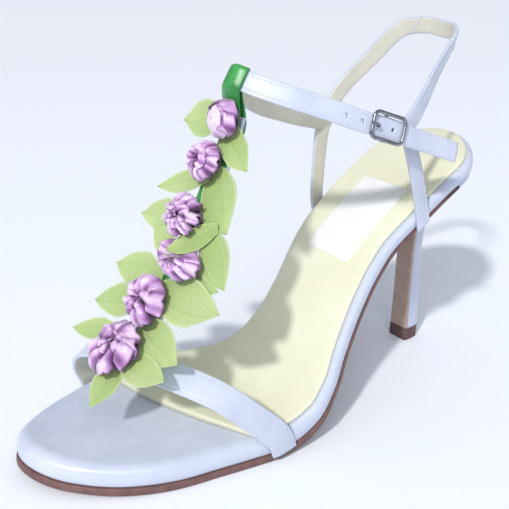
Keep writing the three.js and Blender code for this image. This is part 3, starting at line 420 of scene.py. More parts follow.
def cut_by_plane(obj, point, normal):
    """Cuts away what lies on the normal's side of the plane, and closes the cut."""
    def cut(bm):
        geom = bm.verts[:] + bm.edges[:] + bm.faces[:]
        result = bmesh.ops.bisect_plane(
            bm, geom=geom, plane_co=Vector(point) * MM, plane_no=normal, clear_outer=True
        )
        rim = [e for e in result["geom_cut"] if isinstance(e, bmesh.types.BMEdge)]
        bmesh.ops.holes_fill(bm, edges=rim, sides=0)

    reshape(obj, cut)


def ring_faces(rows, count, start=0):
    faces = []
    for r in range(rows - 1):
        for i in range(count):
            a = start + r * count + i
            b = start + r * count + (i + 1) % count
            faces.append((a, b, b + count, a + count))
    return faces


def end_faces(rows, count, start=0):
    """The two flat ends of a stack of rings."""
    last = start + (rows - 1) * count
    return [tuple(range(start, start + count)), tuple(range(last + count - 1, last - 1, -1))]


def own(obj, slot, *nodes):
    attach(obj, "root")
    if nodes:
        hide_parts(*nodes)
    return obj


def grid_body(name, rows, cols, upper, lower, materials, uv=None, attrs=None):
    """A thin closed body between two surfaces over a net of row and column values."""
    verts = [surface(r, c) for surface in (upper, lower) for r in rows for c in cols]
    nr, nc = len(rows), len(cols)
    below = nr * nc
    faces = []
    for i in range(nr - 1):
        for a in range(i * nc, i * nc + nc - 1):
            faces.append((a, a + nc, a + nc + 1, a + 1))
            faces.append((below + a, below + a + 1, below + a + nc + 1, below + a + nc))
        a = i * nc
        b = a + nc - 1
        faces.append((a, below + a, below + a + nc, a + nc))
        faces.append((b, b + nc, below + b + nc, below + b))
    for j in range(nc - 1):
        b = (nr - 1) * nc + j
        faces.append((j, j + 1, below + j + 1, below + j))
        faces.append((b, below + b, below + b + 1, b + 1))

    def on_both(fn):
        return [fn(r, c) for r in rows for c in cols] * 2

    values = {key: on_both(fn) for key, fn in (attrs or {}).items()}
    obj = make(name, verts, faces, materials, uvs=on_both(uv) if uv else None, attrs=values)
    reshape(obj)
    return obj


# Node materials. Every constant is set on the shader's own socket.
class Nodes:
    def __init__(self, name, **inputs):
        self.material = bpy.data.materials.new(name)
        self.material.use_nodes = True
        self.tree = self.material.node_tree
        self.shader = self.tree.nodes["Principled BSDF"]
        for key, value in inputs.items():
            self.shader.inputs[key.replace("_", " ")].default_value = value

    def add(self, kind, **settings):
        node = self.tree.nodes.new("ShaderNode" + kind)
        for key, value in settings.items():
            if hasattr(node, key):
                setattr(node, key, value)
            else:
                node.inputs[key].default_value = value
        return node

    def link(self, a, out, b, into):
        self.tree.links.new(a.outputs[out], b.inputs[into])

    def texture(self, kind, stretch=(1, 1, 1), coords="Object", **settings):
        mapping = self.add("Mapping", Scale=stretch)
        self.link(self.add("TexCoord"), coords, mapping, "Vector")
        texture = self.add("Tex" + kind, **settings)
        self.link(mapping, "Vector", texture, "Vector")
        return texture

    def color(self, source, out, stops):
        """Colours the surface by a value, through a ramp of (value, colour) stops."""
        ramp = self.add("ValToRGB")
        elements = ramp.color_ramp.elements
        while len(elements) < len(stops):
            elements.new(0.5)
        for element, (position, color) in zip(elements, stops):
            element.position = position
            element.color = (*color, 1)
        self.link(source, out, ramp, "Fac")
        self.link(ramp, "Color", self.shader, "Base Color")

    def plus_tone(self, attribute, tone, share):
        """A value that the mesh carries, with a share of the tone added."""
        total = self.add("Math", operation="MULTIPLY_ADD")
        total.inputs[1].default_value = share
        self.link(tone, "Fac", total, 0)
        self.link(self.add("Attribute", attribute_name=attribute), "Fac", total, 2)
        return total

    def relief(self, *bumps):
        """Bumps in a row, each from (texture, output, strength, distance)."""
        before = None
        for source, out, strength, distance in bumps:
            bump = self.add("Bump", Strength=strength, Distance=distance)
            self.link(source, out, bump, "Height")
            if before:
                self.link(before, "Normal", bump, "Normal")
            before = bump
        self.link(before, "Normal", self.shader, "Normal")


def satin(name, dark, light, weave=2400.0, roughness=0.36, sheen=0.1, drift=60.0, bump=0.12):
    """Woven satin: fine crosswise threads, a slow change of tone, and slight slubs along the cloth."""
    n = Nodes(name, Roughness=roughness, Sheen_Weight=sheen, Sheen_Roughness=0.4,
              Specular_IOR_Level=0.5, Anisotropic=0.35)
    tone = n.texture("Noise", Scale=drift, Detail=3.0, Roughness=0.55)
    n.color(tone, "Fac", [(0.3, dark), (0.7, light)])
    threads = n.texture("Noise", (1, 1, 0.35), Scale=weave, Detail=2.0, Roughness=0.6)
    slubs = n.texture("Noise", (0.25, 1, 1), Scale=weave * 0.3, Detail=2.0, Roughness=0.5)
    n.relief((threads, "Fac", bump, 0.0002), (slubs, "Fac", bump * 0.6, 0.0004))
    return n.material


def leather(name, dark, light, roughness):
    """Leather or rubber: mottled, with a fine grain."""
    n = Nodes(name, Roughness=roughness, Specular_IOR_Level=0.4)
    tone = n.texture("Noise", Scale=220.0, Detail=6.0, Roughness=0.65)
    n.color(tone, "Fac", [(0.32, dark), (0.68, light)])
    n.relief((n.texture("Voronoi", Scale=1600.0), "Distance", 0.25, 0.0003))
    return n.material


def metal(name):
    n = Nodes(name, Roughness=0.24, Metallic=1.0)
    tone = n.texture("Noise", Scale=400.0, Detail=4.0)
    n.color(tone, "Fac", [(0.35, (0.20, 0.20, 0.225)), (0.65, (0.36, 0.365, 0.40))])
    n.relief((tone, "Fac", 0.08, 0.0002))
    return n.material


def ribbon_lilac():
    """Lilac satin with painted shade, deep purple, in its folds and a painted highlight on its crests,
    carried by the fold value, and fine cross threads.
    """
    n = Nodes("lilac_satin", Roughness=0.31, Sheen_Weight=0.4, Specular_IOR_Level=0.6, Anisotropic=0.4)
    tone = n.texture("Noise", Scale=260.0, Detail=3.0)
    # the ramp runs from painted shade in the folds to a painted highlight on the crests
    n.color(n.plus_tone("fold", tone, 0.28), "Value", [
        (0.12, (0.075, 0.015, 0.085)),
        (0.4, (0.29, 0.115, 0.33)),
        (0.66, (0.54, 0.31, 0.58)),
        (0.95, (0.80, 0.62, 0.84)),
    ])
    n.relief((n.texture("Noise", (1, 1, 0.3), Scale=2200.0, Detail=2.0), "Fac", 0.15, 0.0002))
    return n.material


def organza():
    """Yellow-green organza: a fine square mesh, lighter at the hemmed edge, with painted shade along the
    fold, painted light on one side of it and painted light and shade over the ribs.
    """
    n = Nodes("leaf_organza", Roughness=0.5, Sheen_Weight=0.25, Alpha=0.86)
    tone = n.texture("Noise", coords="UV", Scale=9.0, Detail=3.0)
    n.color(n.plus_tone("edge", tone, 0.5), "Value", [
        (0.0, (0.22, 0.37, 0.085)),
        (0.3, (0.37, 0.53, 0.155)),
        (0.55, (0.47, 0.62, 0.22)),
        (0.95, (0.64, 0.76, 0.37)),
    ])
    weft = n.texture("Wave", coords="UV", Scale=34.0, Distortion=0.4)
    warp = n.texture("Wave", coords="UV", Scale=34.0, Distortion=0.4, bands_direction="Y")
    n.relief((weft, "Fac", 0.25, 0.0001), (warp, "Fac", 0.25, 0.0001))
    return n.material


SATIN = satin("white_satin", (0.50, 0.545, 0.68), (0.60, 0.645, 0.76), roughness=0.24)
LINING = satin("strap_lining", (0.54, 0.52, 0.44), (0.63, 0.61, 0.53), weave=900.0, roughness=0.55, bump=0.3)
THREAD = satin("thread", (0.62, 0.65, 0.76), (0.74, 0.77, 0.86), 6000.0, 0.5, sheen=0.2, bump=0.5)
SOCK = satin("sock_lining", (0.71, 0.70, 0.52), (0.77, 0.765, 0.60), 1100.0, 0.5, drift=25.0, bump=0.25)
LABEL = satin("label_cloth", (0.77, 0.77, 0.775), (0.83, 0.83, 0.835), 1500.0, 0.55, bump=0.3)
RIBBON = satin("green_satin", (0.015, 0.16, 0.03), (0.05, 0.33, 0.075), 1800.0, 0.34, sheen=0.08, drift=160.0)
OUTSOLE = leather("outsole_leather", (0.13, 0.066, 0.06), (0.20, 0.105, 0.095), 0.5)
FLAP = leather("breast_leather", (0.44, 0.32, 0.255), (0.52, 0.395, 0.325), 0.45)
LIFT = leather("top_lift_rubber", (0.10, 0.055, 0.05), (0.15, 0.085, 0.078), 0.55)
METAL = metal("buckle_metal")
LILAC = ribbon_lilac()
ORGANZA = organza()

# The sole's layers. The ring runs round the outline with even steps, and the rows run over its edge.
RING_POINTS = 420
OUTLINE_STEPS = 1500
CAP_ROWS = 12
# The spine that the caps shrink to stops short of both ends.
SPINE_TOE = 20.0
SPINE_SEAT = 14.0


def outline_points(level):
    """Points (x, s) of the sole's outline, spaced evenly, moved inwards by the level's inset."""
    ss = ARC_LENGTH * (1 - np.cos(np.pi * np.linspace(0, 1, OUTLINE_STEPS))) / 2
    outer = []
    inner = []
    for s in ss:
        centre, half = edges(float(s))
        outer.append((centre + half, float(s)))
        inner.append((centre - half, float(s)))
    loop = np.array(outer + inner[1:-1][::-1])
    closed = np.vstack([loop, loop[:1]])
    dist = np.concatenate([[0], np.cumsum(np.hypot(*np.diff(closed, axis=0).T))])
    even = np.linspace(0, dist[-1], RING_POINTS, endpoint=False)
    ring = np.stack([np.interp(even, dist, closed[:, 0]), np.interp(even, dist, closed[:, 1])], 1)
    tangent = np.roll(ring, -1, 0) - np.roll(ring, 1, 0)
    tangent /= np.linalg.norm(tangent, axis=1)[:, None]
    # moves each point to the left of its way, which is inwards here
    inset = np.array([level(on_line(s))[0] for s in ring[:, 1]])
    return ring + np.stack([-tangent[:, 1], tangent[:, 0]], 1) * inset[:, None]


def shell_layer(name, levels, material):
    """A closed body from levels, each a function of s that gives (inset, height), capped by nets."""
    rings = [outline_points(level) for level in levels]
    verts = []
    uvs = []

    def add(level, x, s):
        verts.append(place(x, s, level(on_line(s))[1]))
        uvs.append((x * UV_SCALE, s * UV_SCALE))

    for level, ring in zip(levels, rings):
        for x, s in ring:
            add(level, x, s)
    faces = ring_faces(len(levels), RING_POINTS)
    # caps: the first and the last ring shrink towards the centre line
    for which, first in ((0, 0), (-1, (len(levels) - 1) * RING_POINTS)):
        for k in range(1, CAP_ROWS + 1):
            start = len(verts)
            for x, s in rings[which]:
                spine = min(ARC_LENGTH - SPINE_SEAT, max(SPINE_TOE, on_line(s)))
                add(levels[which], mix(x, edges(spine)[0], k / CAP_ROWS), mix(s, spine, k / CAP_ROWS))
            for i in range(RING_POINTS):
                j = (i + 1) % RING_POINTS
                faces.append((first + i, first + j, start + j, start + i))
            first = start
    return make_welded(name, verts, faces, [material], uvs=uvs)


def board():
    def under(inset, share=0.0, lift=0.0):
        return lambda s: (inset, mix(-board_thickness(s), -edge_round(s), share) + lift)

    def over(degrees):
        angle = math.radians(degrees)
        return lambda s: (edge_round(s) * (1 - math.cos(angle)), -edge_round(s) * (1 - math.sin(angle)))

    levels = [
        under(BOARD_TUCK + 1.4),
        under(BOARD_TUCK + 0.2),
        under(BOARD_TUCK * 0.62, lift=0.35),
        under(BOARD_TUCK * 0.3, 0.3),
        under(0.05, 0.7),
    ]
    levels += [over(degrees) for degrees in range(0, 91, 10)]
    levels.append(lambda s: (edge_round(s) + 1.2, 0.0))
    own(shell_layer("insole_board_satin", levels, SATIN), "satin", "insole_board")


BREAST_Y = plan_y(BREAST_ALONG)
STEM_FRONT = BREAST_Y + FLAP_THICKNESS + GAP
STEM_DEPTH = TIP_DEPTH - FLAP_THICKNESS - GAP
STEM_FOOT = LIFT_HEIGHT + GAP
# inset, share of the thickness above the tread, lift
OUTSOLE_EDGE = [
    (2.4, 0, 0),
    (0.7, 0, 0),
    (0.25, 0, 0.12),
    (0.04, 0, 0.4),
    (0, 0.6, 0),
    (0.08, 1, -0.12),
    (0.3, 1, 0),
    (2.0, 1, 0),
]


def outsole():
    def level(inset, share, lift):
        def at(s):
            thickness = mix(OUTSOLE_FOREFOOT, OUTSOLE_WAIST, thinning(s))
            return OUTSOLE_INSET + inset, underside(s) - (1 - share) * thickness + lift
        return at

    obj = shell_layer("outsole_edge_and_tread", [level(*row) for row in OUTSOLE_EDGE], OUTSOLE)
    cut_by_plane(obj, (0, BREAST_Y + FLAP_THICKNESS, 0), (0, 1, 0))
    own(obj, "outsole", "outsole")


def smooth_chain(points, per_span):
    """Catmull-Rom through points, for smooth sections."""
    out = []
    ends = [points[0], *points, points[-1]]
    for spans in zip(ends, ends[1:], ends[2:], ends[3:]):
        for k in range(per_span):
            t = k / per_span
            out.append(tuple(
                0.5 * (2 * b + (c - a) * t + (2 * a - 5 * b + 4 * c - d) * t * t
                       + (3 * b - a - 3 * c + d) * t ** 3)
                for a, b, c, d in zip(*spans)
            ))
    out.append(points[-1])
    return out


WIDTH_AT, DEPTH_AT, FLARE_AT = (column(STEM, k) for k in (1, 2, 3))
HALF_SECTION = smooth_chain(STEM_SECTION, 6)
HALF = len(HALF_SECTION) - 1
STEM_POINTS = 2 * HALF + 1
HEEL_LEVELS = 70
# The heel's levels crowd towards the seat by this power.
HEEL_CROWDING = 1.25


def stem_point(i):
    """Point i of the heel's section, across and back, as shares of its size."""
    across, back = HALF_SECTION[i if i <= HALF else 2 * HALF - i]
    return (across if i <= HALF else -across), back


def heel():
    breast = length_under(STEM_FRONT)
    rim = []
    for side in (1, -1):
        chain = []
        for i in range(HALF + 1):
            s = mix(breast, ARC_LENGTH - BOARD_TUCK, math.sin(i / HALF * math.pi / 2))
            centre, h = edges(s, BOARD_TUCK)
            chain.append(place(centre + side * h, s, underside(s)))
        # the seat's last point lies on the middle line
        rim += chain if side == 1 else chain[:-1][::-1]
    verts = []
    for level in range(HEEL_LEVELS + 1):
        height = 1 - (1 - level / HEEL_LEVELS) ** HEEL_CROWDING
        flare = clamp01(FLARE_AT(height))
        for i, top in enumerate(rim):
            across, back = stem_point(i)
            stem_x = TIP_ACROSS + across * WIDTH_AT(height) * TIP_WIDTH / 2
            stem_y = STEM_FRONT + back * DEPTH_AT(height) * STEM_DEPTH
            z = mix(STEM_FOOT, mix(rim[0].z, top.z, flare) - CUP_RIM, height)
            verts.append((mix(stem_x, top.x, flare), mix(stem_y, top.y, flare), z))
    for drop in (0.25, 0):
        verts += [top - Vector((0, 0, drop)) for top in rim]
    rows = HEEL_LEVELS + 3
    faces = ring_faces(rows, STEM_POINTS)
    for start in (0, (rows - 1) * STEM_POINTS):
        for i in range(HALF - 1):
            j = STEM_POINTS - 1 - i
            faces.append((start + i, start + i + 1, start + j - 1, start + j))
        faces.append((start + HALF - 1, start + HALF, start + HALF + 1))
    own(make_welded("heel_satin", verts, faces, [SATIN]), "satin", "heel")


def breast_flap():
    """The outsole's leather running down the heel's breast, with rounded edges."""
    s = length_under(BREAST_Y)
    centre, half = edges(s)
    reach = place(0, s, underside(s)).z - CUP_RIM
    front, back, r = BREAST_Y, BREAST_Y + FLAP_THICKNESS, 0.3
    verts = []
    heights = [share * 0.985 for share in spread(60)]
    for height in heights:
        flare = clamp01(FLARE_AT(height))
        outer = mix(TIP_ACROSS + WIDTH_AT(height) * TIP_WIDTH / 2, centre + half, flare)
        inner = mix(TIP_ACROSS - WIDTH_AT(height) * TIP_WIDTH / 2, centre - half, flare)
        ring = [(outer - r, front), (outer, front + r), (outer, back), (inner, back), (inner, front + r)]
        ring += [(x, front) for x in spread(6, inner + r, outer - r)[:-1]]
        verts += [(x, y, mix(STEM_FOOT, reach, height)) for x, y in ring]
    rows = len(heights)
    count = len(verts) // rows
    faces = ring_faces(rows, count) + end_faces(rows, count)
    own(make_welded("breast_leather", verts, faces, [FLAP]), "outsole", "outsole")


def top_lift():
    levels = [(0.25, 0), (0.0, 0.25), (0.0, LIFT_HEIGHT - 0.2), (0.2, LIFT_HEIGHT)]
    verts = []
    for inset, z in levels:
        for i in range(STEM_POINTS):
            across, back = stem_point(i)
            x = TIP_ACROSS + across * (TIP_WIDTH / 2 - inset)
            verts.append((x, BREAST_Y + inset + back * (TIP_DEPTH - 2 * inset), z))
    faces = ring_faces(len(levels), STEM_POINTS) + end_faces(len(levels), STEM_POINTS)
    own(make_welded("top_lift_rubber", verts, faces, [LIFT]), "top_lift", "top_lift")


SOCK_FRONT_AT = column(SOCK_FRONT, 1)
# The sock's rim is rolled under over this width.
SOCK_ROLL = 1.1
SOCK_UNDER = 0.35


def sock_crown(s, across):
    half = edges(s, SOCK_INSET)[1]
    return SOCK_CROWN * smooth(half / (BALL_WIDTH / 4)) * (1 - across * across)


def sock():
    def point(row, across, upper):
        s = mix(length_at(SOCK_FRONT_AT(across)), ARC_LENGTH - SOCK_INSET, row)
        centre, half = edges(s, SOCK_INSET)
        height = SOCK_SEAT - SOCK_UNDER
        if upper:
            rim = min((1 - abs(across)) * half, row * ARC_LENGTH * 0.7, (1 - row) * ARC_LENGTH) / SOCK_ROLL
            roll = math.sqrt(clamp01(rim * (2 - min(1.0, rim))))
            height = SOCK_SEAT + SOCK_THICKNESS * mix(0.35, 1, roll) + sock_crown(s, across)
        return place(centre + across * half, s, height)

    rows = [0, 0.0012, 0.003, 0.006]
    rows += [mix(row, math.sin(row * math.pi / 2), 0.6) for row in spread(150, 0.008, 0.995)]
    rows += [0.9997, 1]
    cols = [-1, -0.996, -0.988, -0.975] + spread(34, -0.96, 0.96) + [0.975, 0.988, 0.996, 1]
    obj = grid_body(
        "sock_pad", rows, cols, lambda r, c: point(r, c, True), lambda r, c: point(r, c, False), [SOCK]
    )
    own(obj, "sock", "sock")


def label():
    def point(row, across, height):
        s = length_at(LABEL_ALONG) + (row - 0.5) * LABEL_LENGTH
        x = LABEL_ACROSS * BALL_WIDTH + across * LABEL_WIDTH / 2
        centre, half = edges(s, SOCK_INSET)
        return place(x, s, SOCK_SEAT + SOCK_THICKNESS + sock_crown(s, (x - centre) / half) + height)

    def upper(row, across):
        rim = min((1 - abs(across)) * LABEL_WIDTH / 2, min(row, 1 - row) * LABEL_LENGTH)
        return point(row, across, 0.12 + 0.4 * smooth(rim / 0.5))

    rows = [0, 0.006, 0.012] + spread(30, 0.02, 0.98) + [0.988, 0.994, 1]
    cols = [-1, -0.98, -0.96] + spread(16, -0.94, 0.94) + [0.96, 0.98, 1]
    obj = grid_body("blank_label", rows, cols, upper, lambda r, c: point(r, c, 0.05), [LABEL])
    own(obj, "label", "sock_label")


# Strap lines: the same smooth curves as in the solids.
class Curve:
    """Centripetal Catmull-Rom through 3-D points."""

    def __init__(self, points):
        self.points = [np.array(p, float) for p in points]

    def at(self, t):
        pts = self.points
        n = len(pts)
        p = (n - 1) * clamp01(t)
        i = min(int(p), n - 2)
        w = p - i
        p0 = pts[i - 1] if i > 0 else 2 * pts[0] - pts[1]
        p1, p2 = pts[i], pts[i + 1]
        p3 = pts[i + 2] if i + 2 < n else 2 * pts[-1] - pts[-2]
        d0, d1, d2 = (np.sum((b - a) ** 2) ** 0.25 for a, b in ((p0, p1), (p1, p2), (p2, p3)))
        d1 = 1.0 if d1 < 1e-4 else d1
        d0 = d1 if d0 < 1e-4 else d0
        d2 = d1 if d2 < 1e-4 else d2
        t1 = ((p1 - p0) / d0 - (p2 - p0) / (d0 + d1) + (p2 - p1) / d1) * d1
        t2 = ((p2 - p1) / d1 - (p3 - p1) / (d1 + d2) + (p3 - p2) / d2) * d1
        c2 = -3 * p1 + 3 * p2 - 2 * t1 - t2
        c3 = 2 * p1 - 2 * p2 + t1 + t2
        return p1 + t1 * w + c2 * w * w + c3 * w ** 3


class Strap:
    """A strap's line: its point, tangent, face and across at each share of its length."""

    def __init__(self, stations):
        self.line = Curve([p for p, _ in stations])
        self.faces = Curve([f for _, f in stations])
        self.ts = np.linspace(0, 1, 1201)
        pts = np.array([self.line.at(t) for t in self.ts])
        self.cum = np.concatenate([[0], np.cumsum(np.linalg.norm(np.diff(pts, axis=0), axis=1))])
        self.length = float(self.cum[-1])
        self.steps = max(200, int(self.length * 3))
        self.table = [self.measure(share) for share in spread(self.steps)]

    def measure(self, share):
        t = float(np.interp(share * self.length, self.cum, self.ts))
        e = 1e-3
        tangent = self.line.at(min(1, t + e)) - self.line.at(max(0, t - e))
        tangent /= np.linalg.norm(tangent)
        face = self.faces.at(t)
        face = face - tangent * np.dot(face, tangent)
        face /= np.linalg.norm(face)
        return Vector(self.line.at(t)), Vector(tangent), Vector(face), Vector(np.cross(tangent, face))

    def at(self, share):
        """The values at a share of the length, from the measured table."""
        place_in = clamp01(share) * self.steps
        i = min(int(place_in), self.steps - 1)
        return tuple(a.lerp(b, place_in - i) for a, b in zip(self.table[i], self.table[i + 1]))

    def on(self, share, a, h):
        point, _, face, across = self.at(share)
        return point + across * a + face * h


SEAT_LEVEL = top_height(1)


def collar_station(row):
    across, back, up, tilt = row
    x = across * COLLAR_WIDTH / 2
    y = back * COLLAR_LENGTH / 2
    out = Vector((x / COLLAR_WIDTH, y / COLLAR_LENGTH, 0)).normalized() * math.cos(math.radians(tilt))
    out.z = math.sin(math.radians(tilt))
    return (x, plan_y(COLLAR_ALONG) + y, SEAT_LEVEL + up * COLLAR_HEIGHT), tuple(out)


def vamp_station(row):
    across, along, lift, right, front, up = row
    centre, half = edges(length_at(along))
    x = across * ((centre + half) if across > 0 else -(centre - half))
    return (x, plan_y(along), top_height(along) + lift * VAMP_HEIGHT), (right, -front, up)


def bar_stations():
    way = BAR_HEAD - BAR_FOOT
    length = np.linalg.norm(way)
    way = way / length
    out = np.array([0, -way[2], way[1]])
    out /= np.linalg.norm(out)
    return [(tuple(BAR_FOOT + way * rise * length - out * sag * BAR_SAG), tuple(out)) for rise, sag in BAR]


def leg_line(leg):
    along, across, back, up, bow = leg
    side = 1 if across > 0 else -1
    centre, half = edges(length_at(along))
    foot = Vector((centre + side * half + side * STRAP_THICKNESS / 2, plan_y(along), top_height(along)))
    top, face = collar_station((across, back, up, LEG_TILT))
    below = foot + Vector((0, BOARD_SEAT / 2, -2 * BOARD_SEAT))
    stations = [(tuple(below), (side, 0, 0))]
    for share in (0, 0.3, 0.65, 1):
        p = foot.lerp(Vector(top), share) + Vector((side * bow * math.sin(math.pi * share), 0, 0))
        stations.append((tuple(p), tuple(Vector((side, 0, 0)).lerp(Vector(face), share))))
    return Strap(stations)


LEG_TILT = 4
VAMP_LINE = Strap([vamp_station(r) for r in VAMP])
ANKLE_LINE = Strap([collar_station(r) for r in ANKLE])
BAR_FOOT = np.array(vamp_station(VAMP[VAMP_TOP])[0])
BAR_HEAD = np.array(collar_station(ANKLE[ANKLE_TOP])[0])
BAR_LINE = Strap(bar_stations())
BAR_LENGTH = BAR_LINE.length
BUCKLE_POINT, BUCKLE_ALONG, BUCKLE_FACE, BUCKLE_ACROSS = ANKLE_LINE.at(BUCKLE_SHARE)


def bar_at(along, across, height):
    on = min(BAR_LENGTH, max(0.0, along))
    point, tangent, face, side = BAR_LINE.at(on / BAR_LENGTH)
    return point + tangent * (along - on) + side * across + face * height


def at_buckle(a, b, h):
    return BUCKLE_POINT + BUCKLE_ALONG * a + BUCKLE_ACROSS * b + BUCKLE_FACE * h


# The rear strap starts under the ankle strap: along, depth below its lining.
REAR_START = [(2.1, 0.4), (4.2, 0.8)]
REAR_LINE = Strap(
    [(tuple(at_buckle(a, 0, -STRAP_THICKNESS - depth)), tuple(BUCKLE_FACE)) for a, depth in REAR_START]
    + [collar_station(r) for r in REAR]
)
OUTER_LINE = leg_line(OUTER_LEG)
INNER_LINE = leg_line(INNER_LEG)

# The straps' rounding, crown, lining and stitches.
STRAP_ROUND = 0.62
STRAP_CROWN = 0.1
STRAP_STEP = 0.8
# The rolled edge below its rounding: inset, height above the lining.
STRAP_ROLL = [(0.15, 0.35), (0.5, 0.1)]
LINING_INSET = 0.75
STITCH_INSET = 1.15
STITCH_GROOVE = 0.24
STITCH_PITCH = 2.3
STITCH_LENGTH = 1.5
STITCH_WIRE = 0.36
STITCH_SIDES = 6
STITCH_SLANT = 0.06
STITCH_DIP = 0.16
# offset, girth
STITCH_PROFILE = [(-1, 0.25), (-0.8, 0.8), (-0.3, 1), (0.3, 1), (0.8, 0.8), (1, 0.25)]
SEAM_WIRE = 0.5
SEAM_SLANT = 2.2
# The seams' shares of the rear strap's length.
SEAMS = {"left": 0.632, "right": 0.4}
# The straps end this far above the outsole, where they go in under the board.
FOOT_TUCK = 0.7


def strap_section(width):
    """Points (a, h, slot): rounded satin over the top and the edges, and the lining beneath."""
    w = width / 2
    t = STRAP_THICKNESS / 2
    r = STRAP_ROUND
    top = []
    for a in spread(16, -(w - r), w - r):
        dip = STITCH_GROOVE * bell(abs(a) - (w - STITCH_INSET), 0.3)
        top.append((a, t - STRAP_CROWN * (a / w) ** 2 - dip, 0))
    edge = []
    for degrees in (54, 18, -18, -54):
        turn = math.radians(degrees)
        edge.append((w - r + r * math.cos(turn), t - STRAP_CROWN - r + r * math.sin(turn), 0))
    edge += [(w - inset, -t + up, 0) for inset, up in STRAP_ROLL]
    lining = [(a, -t, 1) for a in spread(6, w - LINING_INSET, -(w - LINING_INSET))]
    a, h, _ = edge[-1]
    return top + edge[:-1] + [(a, h, 1)] + lining + [(-a, h, slot) for a, h, slot in reversed(edge)]


def strap_mesh(name, line, width):
    section = strap_section(width)
    rows = int(line.length / STRAP_STEP)
    verts = []
    uvs = []
    for share in spread(rows):
        point, _, face, across = line.at(share)
        for a, h, _ in section:
            verts.append(point + across * a + face * h)
            uvs.append((share * line.length * UV_SCALE, a * UV_SCALE))
    faces = ring_faces(rows + 1, len(section)) + end_faces(rows + 1, len(section))
    slots = [slot for _, _, slot in section] * rows + [0, 0]
    obj = make(name, verts, faces, [SATIN, LINING], slots, uvs)
    reshape(obj)
    return obj


def stitch_row(verts, faces, line, start, end, a, height):
    """Thread loops, each a small closed spindle half sunk in the satin."""
    number = max(1, int((end - start) * line.length / STITCH_PITCH))
    reach = STITCH_LENGTH / 2 / line.length
    for i in range(number):
        mid = start + (i + 0.5) * (end - start) / number
        base = len(verts)
        for offset, girth in STITCH_PROFILE:
            r = STITCH_WIRE / 2 * girth
            drop = STITCH_DIP * abs(offset) ** 3
            for k in range(STITCH_SIDES):
                turn = k / STITCH_SIDES * 2 * math.pi
                across = a + STITCH_SLANT * offset + math.cos(turn) * r
                verts.append(line.on(mid + offset * reach, across, height - drop + math.sin(turn) * r))
        faces += ring_faces(len(STITCH_PROFILE), STITCH_SIDES, base)
        faces += end_faces(len(STITCH_PROFILE), STITCH_SIDES, base)


def stitches(name, *rows):
    """Both edges of each row's strap are stitched. A row: line, start, end, width."""
    verts = []
    faces = []
    height = STRAP_THICKNESS / 2 - STRAP_CROWN
    for line, start, end, width in rows:
        for side in (-1, 1):
            stitch_row(verts, faces, line, start, end, side * (width / 2 - STITCH_INSET), height)
    obj = make(name, verts, faces, [THREAD])
    reshape(obj)
    own(obj, "satin")


def seam(name, line, share, width):
    """The fold where two runs of a strap are joined on the slant: a thin ridge round the strap."""
    half, deep = width / 2 + 0.02, STRAP_THICKNESS / 2 - 0.04
    loop = [(-half, deep), (half, deep), (half, -deep), (-half, -deep)]
    points = []
    for (a, h), (b, g) in zip(loop, loop[1:] + loop[:1]):
        for t in spread(8)[:-1]:
            across = mix(a, b, t)
            points.append(line.on(share + across / half * SEAM_SLANT / line.length, across, mix(h, g, t)))
    own(tube(name, points, line.at(share)[1], SEAM_WIRE, True, SATIN, 8), "satin", "collar_straps")


def boolean_cut(obj, cutters):
    """Cuts closed cutters out of obj, and keeps only the result."""
    for cutter in cutters:
        mod = obj.modifiers.new("cut", "BOOLEAN")
        mod.operation = "DIFFERENCE"
        mod.solver = "EXACT"
        mod.object = cutter
    depsgraph = bpy.context.evaluated_depsgraph_get()
    mesh = bpy.data.meshes.new_from_object(obj.evaluated_get(depsgraph))
    obj.modifiers.clear()
    obj.data = mesh
    for cutter in cutters:
        bpy.data.objects.remove(cutter, do_unlink=True)


def rod(name, point, axis, radius, length, sides=20):
    side = axis.orthogonal().normalized()
    other = axis.cross(side)
    verts = []
    for end in (-0.5, 0.5):
        for k in range(sides):
            turn = k / sides * 2 * math.pi
            out = side * math.cos(turn) + other * math.sin(turn)
            verts.append(point + axis * (end * length) + out * radius)
    return make_welded(name, verts, ring_faces(2, sides) + end_faces(2, sides), [SATIN])


def straps():
    vamp = strap_mesh("vamp_strap_satin", VAMP_LINE, VAMP_WIDTH)
    cut_by_plane(vamp, (0, 0, OUTSOLE_FOREFOOT + FOOT_TUCK), (0, 0, -1))
    cut_under_board(vamp, VAMP[1][1], FOOT_TUCK)
    own(vamp, "satin", "vamp_strap")
    own(strap_mesh("front_bar_satin", BAR_LINE, BAR_WIDTH), "satin", "vamp_strap")
    ankle = strap_mesh("ankle_strap_satin", ANKLE_LINE, ANKLE_WIDTH)
    cutters = []
    for turn in (-2, -1, 0, 1):
        share = BUCKLE_SHARE + (-FRAME_LENGTH / 4 + turn * HOLE_PITCH) / ANKLE_LINE.length
        point, _, face, _ = ANKLE_LINE.at(share)
        cutters.append(rod(f"hole_{turn}", point, face.normalized(), HOLE_DIAMETER / 2, 6))
    boolean_cut(ankle, cutters)
    own(ankle, "satin", "collar_straps")
    own(strap_mesh("rear_strap_satin", REAR_LINE, REAR_WIDTH), "satin", "collar_straps")
    for name, line, leg in (("outer", OUTER_LINE, OUTER_LEG), ("inner", INNER_LINE, INNER_LEG)):
        piece = strap_mesh(f"{name}_leg_satin", line, LEG_WIDTH)
        cut_under_board(piece, leg[0], 0)
        own(piece, "satin", "collar_straps")
    for name, share in SEAMS.items():
        seam(f"rear_seam_{name}", REAR_LINE, share, REAR_WIDTH)
    stitches("vamp_stitches", (VAMP_LINE, 0.075, 0.93, VAMP_WIDTH))
    stitches(
        "collar_stitches",
        (ANKLE_LINE, 0.02, 0.985, ANKLE_WIDTH),
        (REAR_LINE, 0.05, 0.97, REAR_WIDTH),
        (OUTER_LINE, 0.2, 0.93, LEG_WIDTH),
        (INNER_LINE, 0.2, 0.93, LEG_WIDTH),
    )


